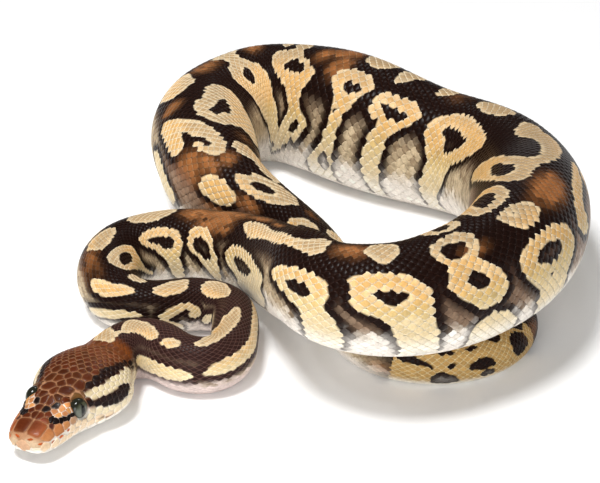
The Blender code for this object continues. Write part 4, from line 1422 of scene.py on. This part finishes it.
class MakeHeadPlates(bpy.types.Operator):
    """Covers the head with its plates: lips, snout, brows and crown, with the heat pits between them."""
    bl_idname = "ball_python.make_head_plates"
    bl_label = "Make Head Plates"

    def execute(self, context):
        skin = bpy.data.objects["skin"].data
        form, seeds, owners, shares = make_plates(skin, coat_settings().depth / MM)
        form.verts.index_update()
        points = np.array([v.co for v in form.verts]) / MM
        mine = seeds[owners]
        reach, seed_back, seed_angle, kind = mine[:, REACH], mine[:, BACK], mine[:, ANGLE], mine[:, KIND]
        spread = 0.9 / np.maximum(reach, 0.5) * np.where(reach > 1.2, 0.015, 0.006)
        back, angle = head_angle(points)
        around = (angle - seed_angle) * FORM.around(back - HEAD_LENGTH)
        u = 0.02 + 0.96 * seed_back / (HEAD_LENGTH + 1) + (back - seed_back) * spread * 0.5
        v = 0.02 + 0.96 * (seed_angle + 180) / 360 + around * spread * 0.5
        unwrap_by_vertex(form, u, v)
        plates = new_piece("head_plates", form, [finishes()["plate_hide"]])
        mixed_back = 0.55 * seed_back + 0.45 * back
        mixed_angle = 0.55 * seed_angle + 0.45 * angle
        even = (kind == NAMED) & (reach < 1.5)
        mixed_back[even], mixed_angle[even] = seed_back[even], seed_angle[even]
        colour, seam = head_colours(mixed_back, mixed_angle)
        spot = (kind == DARK) | ((kind == NAMED) & np.isin(seed_angle, SPOT_ANGLES))
        # The nostril's dark colour is painted shade of its opening.
        for which, ink in ((kind == PIT, "pit"), (kind == NOSTRIL, "nostril"), (spot, "spot"),
                           (kind == ROSTRAL, "rostral")):
            colour = np.where(which[:, None], HEAD_INK[ink], colour)
        seam = np.where((kind == DARK)[:, None], HEAD_INK["dark"], seam)
        seam = np.where((kind == EYE_RING)[:, None], blend(seam, HEAD_INK["dark"], 0.6), seam)
        chance = np.random.default_rng(TONE_SEED)
        lighter = 0.16 * chance.normal(0, 1, (len(seeds), 1))
        tone = np.clip(1 + lighter + 0.04 * chance.normal(0, 1, (len(seeds), 3)), 0.7, 1.4)
        colour = colour * np.where((colour.sum(axis=1) < 1.0)[:, None], tone[owners], 1.0)
        inward = np.interp(shares, list(LIFT), (0.1, 0.3, 0.93, 1.0, 1.0))
        set_colours(plates.data, np.clip(blend(seam, colour, inward), 0, 1))
        return {"FINISHED"}


class MakeEyes(bpy.types.Operator):
    """Makes the two eyes, dark with an upright pupil, under a clear gloss."""
    bl_idname = "ball_python.make_eyes"
    bl_label = "Make Eyes"

    def execute(self, context):
        for name, side in (("left", 1), ("right", -1)):
            form = bmesh.new()
            bmesh.ops.create_uvsphere(form, u_segments=48, v_segments=32, radius=EYE_SIZE * MM)
            sideways = Vector((-FACING[1], FACING[0], 0.0))
            for vertex in form.verts:
                vertex.co -= EYE_FLATTENING * vertex.co.dot(sideways) * sideways
            backward = Vector((-FACING[0], -FACING[1], 0.0))
            bmesh.ops.translate(form, verts=form.verts, vec=(Vector(EYES[side]) + EYE_BACK * backward) * MM)
            eye = new_piece(f"eyeball_{name}", form, [finishes()["eye_glass"]])
            co = np.array([v.co for v in eye.data.vertices]) / MM
            back, _, up = head_coordinates(co)
            mid_back, _, mid_up = head_coordinates(EYES[side])
            across, rise = back - mid_back, up - mid_up
            from_middle = np.hypot(across, rise)
            slit = smooth_step(0.85, 0.5, np.abs(across + 0.3) + 0.12 * rise ** 2)
            colours = blend(EYE_INK["iris"][None, :], EYE_INK["upper_iris"], smooth_step(0.4, 1.8, rise))
            colours = blend(colours, EYE_INK["rim"], smooth_step(2.0, 2.4, from_middle) * 0.8)
            set_colours(eye.data, blend(colours, EYE_INK["pupil"], slit))
            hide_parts(f"eye_{name}")
        return {"FINISHED"}


# Lamps that point at the middle of the floor, in metres and watts: name, place, width, power.
LAMPS = (
    ("key", (-0.26, -0.22, 1.0), 0.34, 11.5),
    ("front", (-0.3, -0.95, 0.30), 0.6, 4.4),
    ("side", (0.9, -0.5, 0.35), 0.7, 1.8),
    ("back", (0.1, 0.8, 0.9), 0.3, 1.6),
)
LOOK_AT = (-0.0051, -0.0011, 0.012)     # what the camera looks at, in metres
SKY_STRENGTH = 0.08       # light from all round
FLOOR_GLOW = 0.08         # the floor's own light, which pales its shadows


class MakeStage(bpy.types.Operator):
    """Puts a pale floor, soft lamps and the camera round the snake."""
    bl_idname = "ball_python.make_stage"
    bl_label = "Make Stage"

    def execute(self, context):
        scene = context.scene
        look = scene.snake_stage
        form = bmesh.new()
        bmesh.ops.create_grid(form, x_segments=4, y_segments=4, size=4.0)
        mesh = bpy.data.meshes.new("floor")
        form.to_mesh(mesh)
        form.free()
        mesh.materials.append(floor_finish(np.array(look.floor)))
        floor = added("floor", mesh)
        for name, place, size, power in LAMPS:
            data = bpy.data.lights.new(name, "AREA")
            data.shape, data.size, data.energy = "DISK", size, power
            lamp = added(name, data)
            lamp.location = place
            lamp.rotation_euler = (-Vector(place)).to_track_quat("-Z", "Y").to_euler()
        world = bpy.data.worlds.new("soft_room")
        world.use_nodes = True
        sky = world.node_tree.nodes["Background"]
        sky.inputs["Color"].default_value = (1.0, 1.0, 1.0, 1.0)
        sky.inputs["Strength"].default_value = SKY_STRENGTH
        scene.world = world
        data = bpy.data.cameras.new("camera")
        data.sensor_fit = "HORIZONTAL"
        data.angle = look.field
        data.clip_start, data.clip_end = 0.01, 20.0
        camera = added("camera", data)
        tilt = look.elevation
        camera.location = Vector(LOOK_AT) + Vector((0, -math.cos(tilt), math.sin(tilt))) * look.distance
        camera.rotation_euler = (math.pi / 2 - tilt, 0, 0)
        scene.camera = camera
        scene.view_settings.view_transform = "Standard"
        return {"FINISHED"}


class SnakePanel(bpy.types.Panel):
    bl_idname = "VIEW3D_PT_ball_python"
    bl_label = "Ball Python"
    bl_space_type = "VIEW_3D"
    bl_region_type = "UI"
    bl_category = "Ball Python"

    def draw(self, context):
        layout = self.layout
        for group in (context.scene.snake_coat, context.scene.snake_stage):
            box = layout.box()
            for name in group.__annotations__:
                box.prop(group, name)
        for step in STEPS:
            layout.operator(step.bl_idname)


STEPS = (MakeSkin, MakeScales, MakeHeadPlates, MakeEyes, MakeStage)
CLASSES = (CoatSettings, StageSettings, *STEPS, SnakePanel)


def register():
    for each in CLASSES:
        bpy.utils.register_class(each)
    bpy.types.Scene.snake_coat = PointerProperty(type=CoatSettings)
    bpy.types.Scene.snake_stage = PointerProperty(type=StageSettings)


def unregister():
    del bpy.types.Scene.snake_stage
    del bpy.types.Scene.snake_coat
    for each in reversed(CLASSES):
        bpy.utils.unregister_class(each)


def main():
    register()
    bpy.ops.ball_python.make_skin()
    bpy.ops.ball_python.make_scales()
    bpy.ops.ball_python.make_head_plates()
    bpy.ops.ball_python.make_eyes()
    bpy.ops.ball_python.make_stage()


if __name__ == "__main__":
    main()
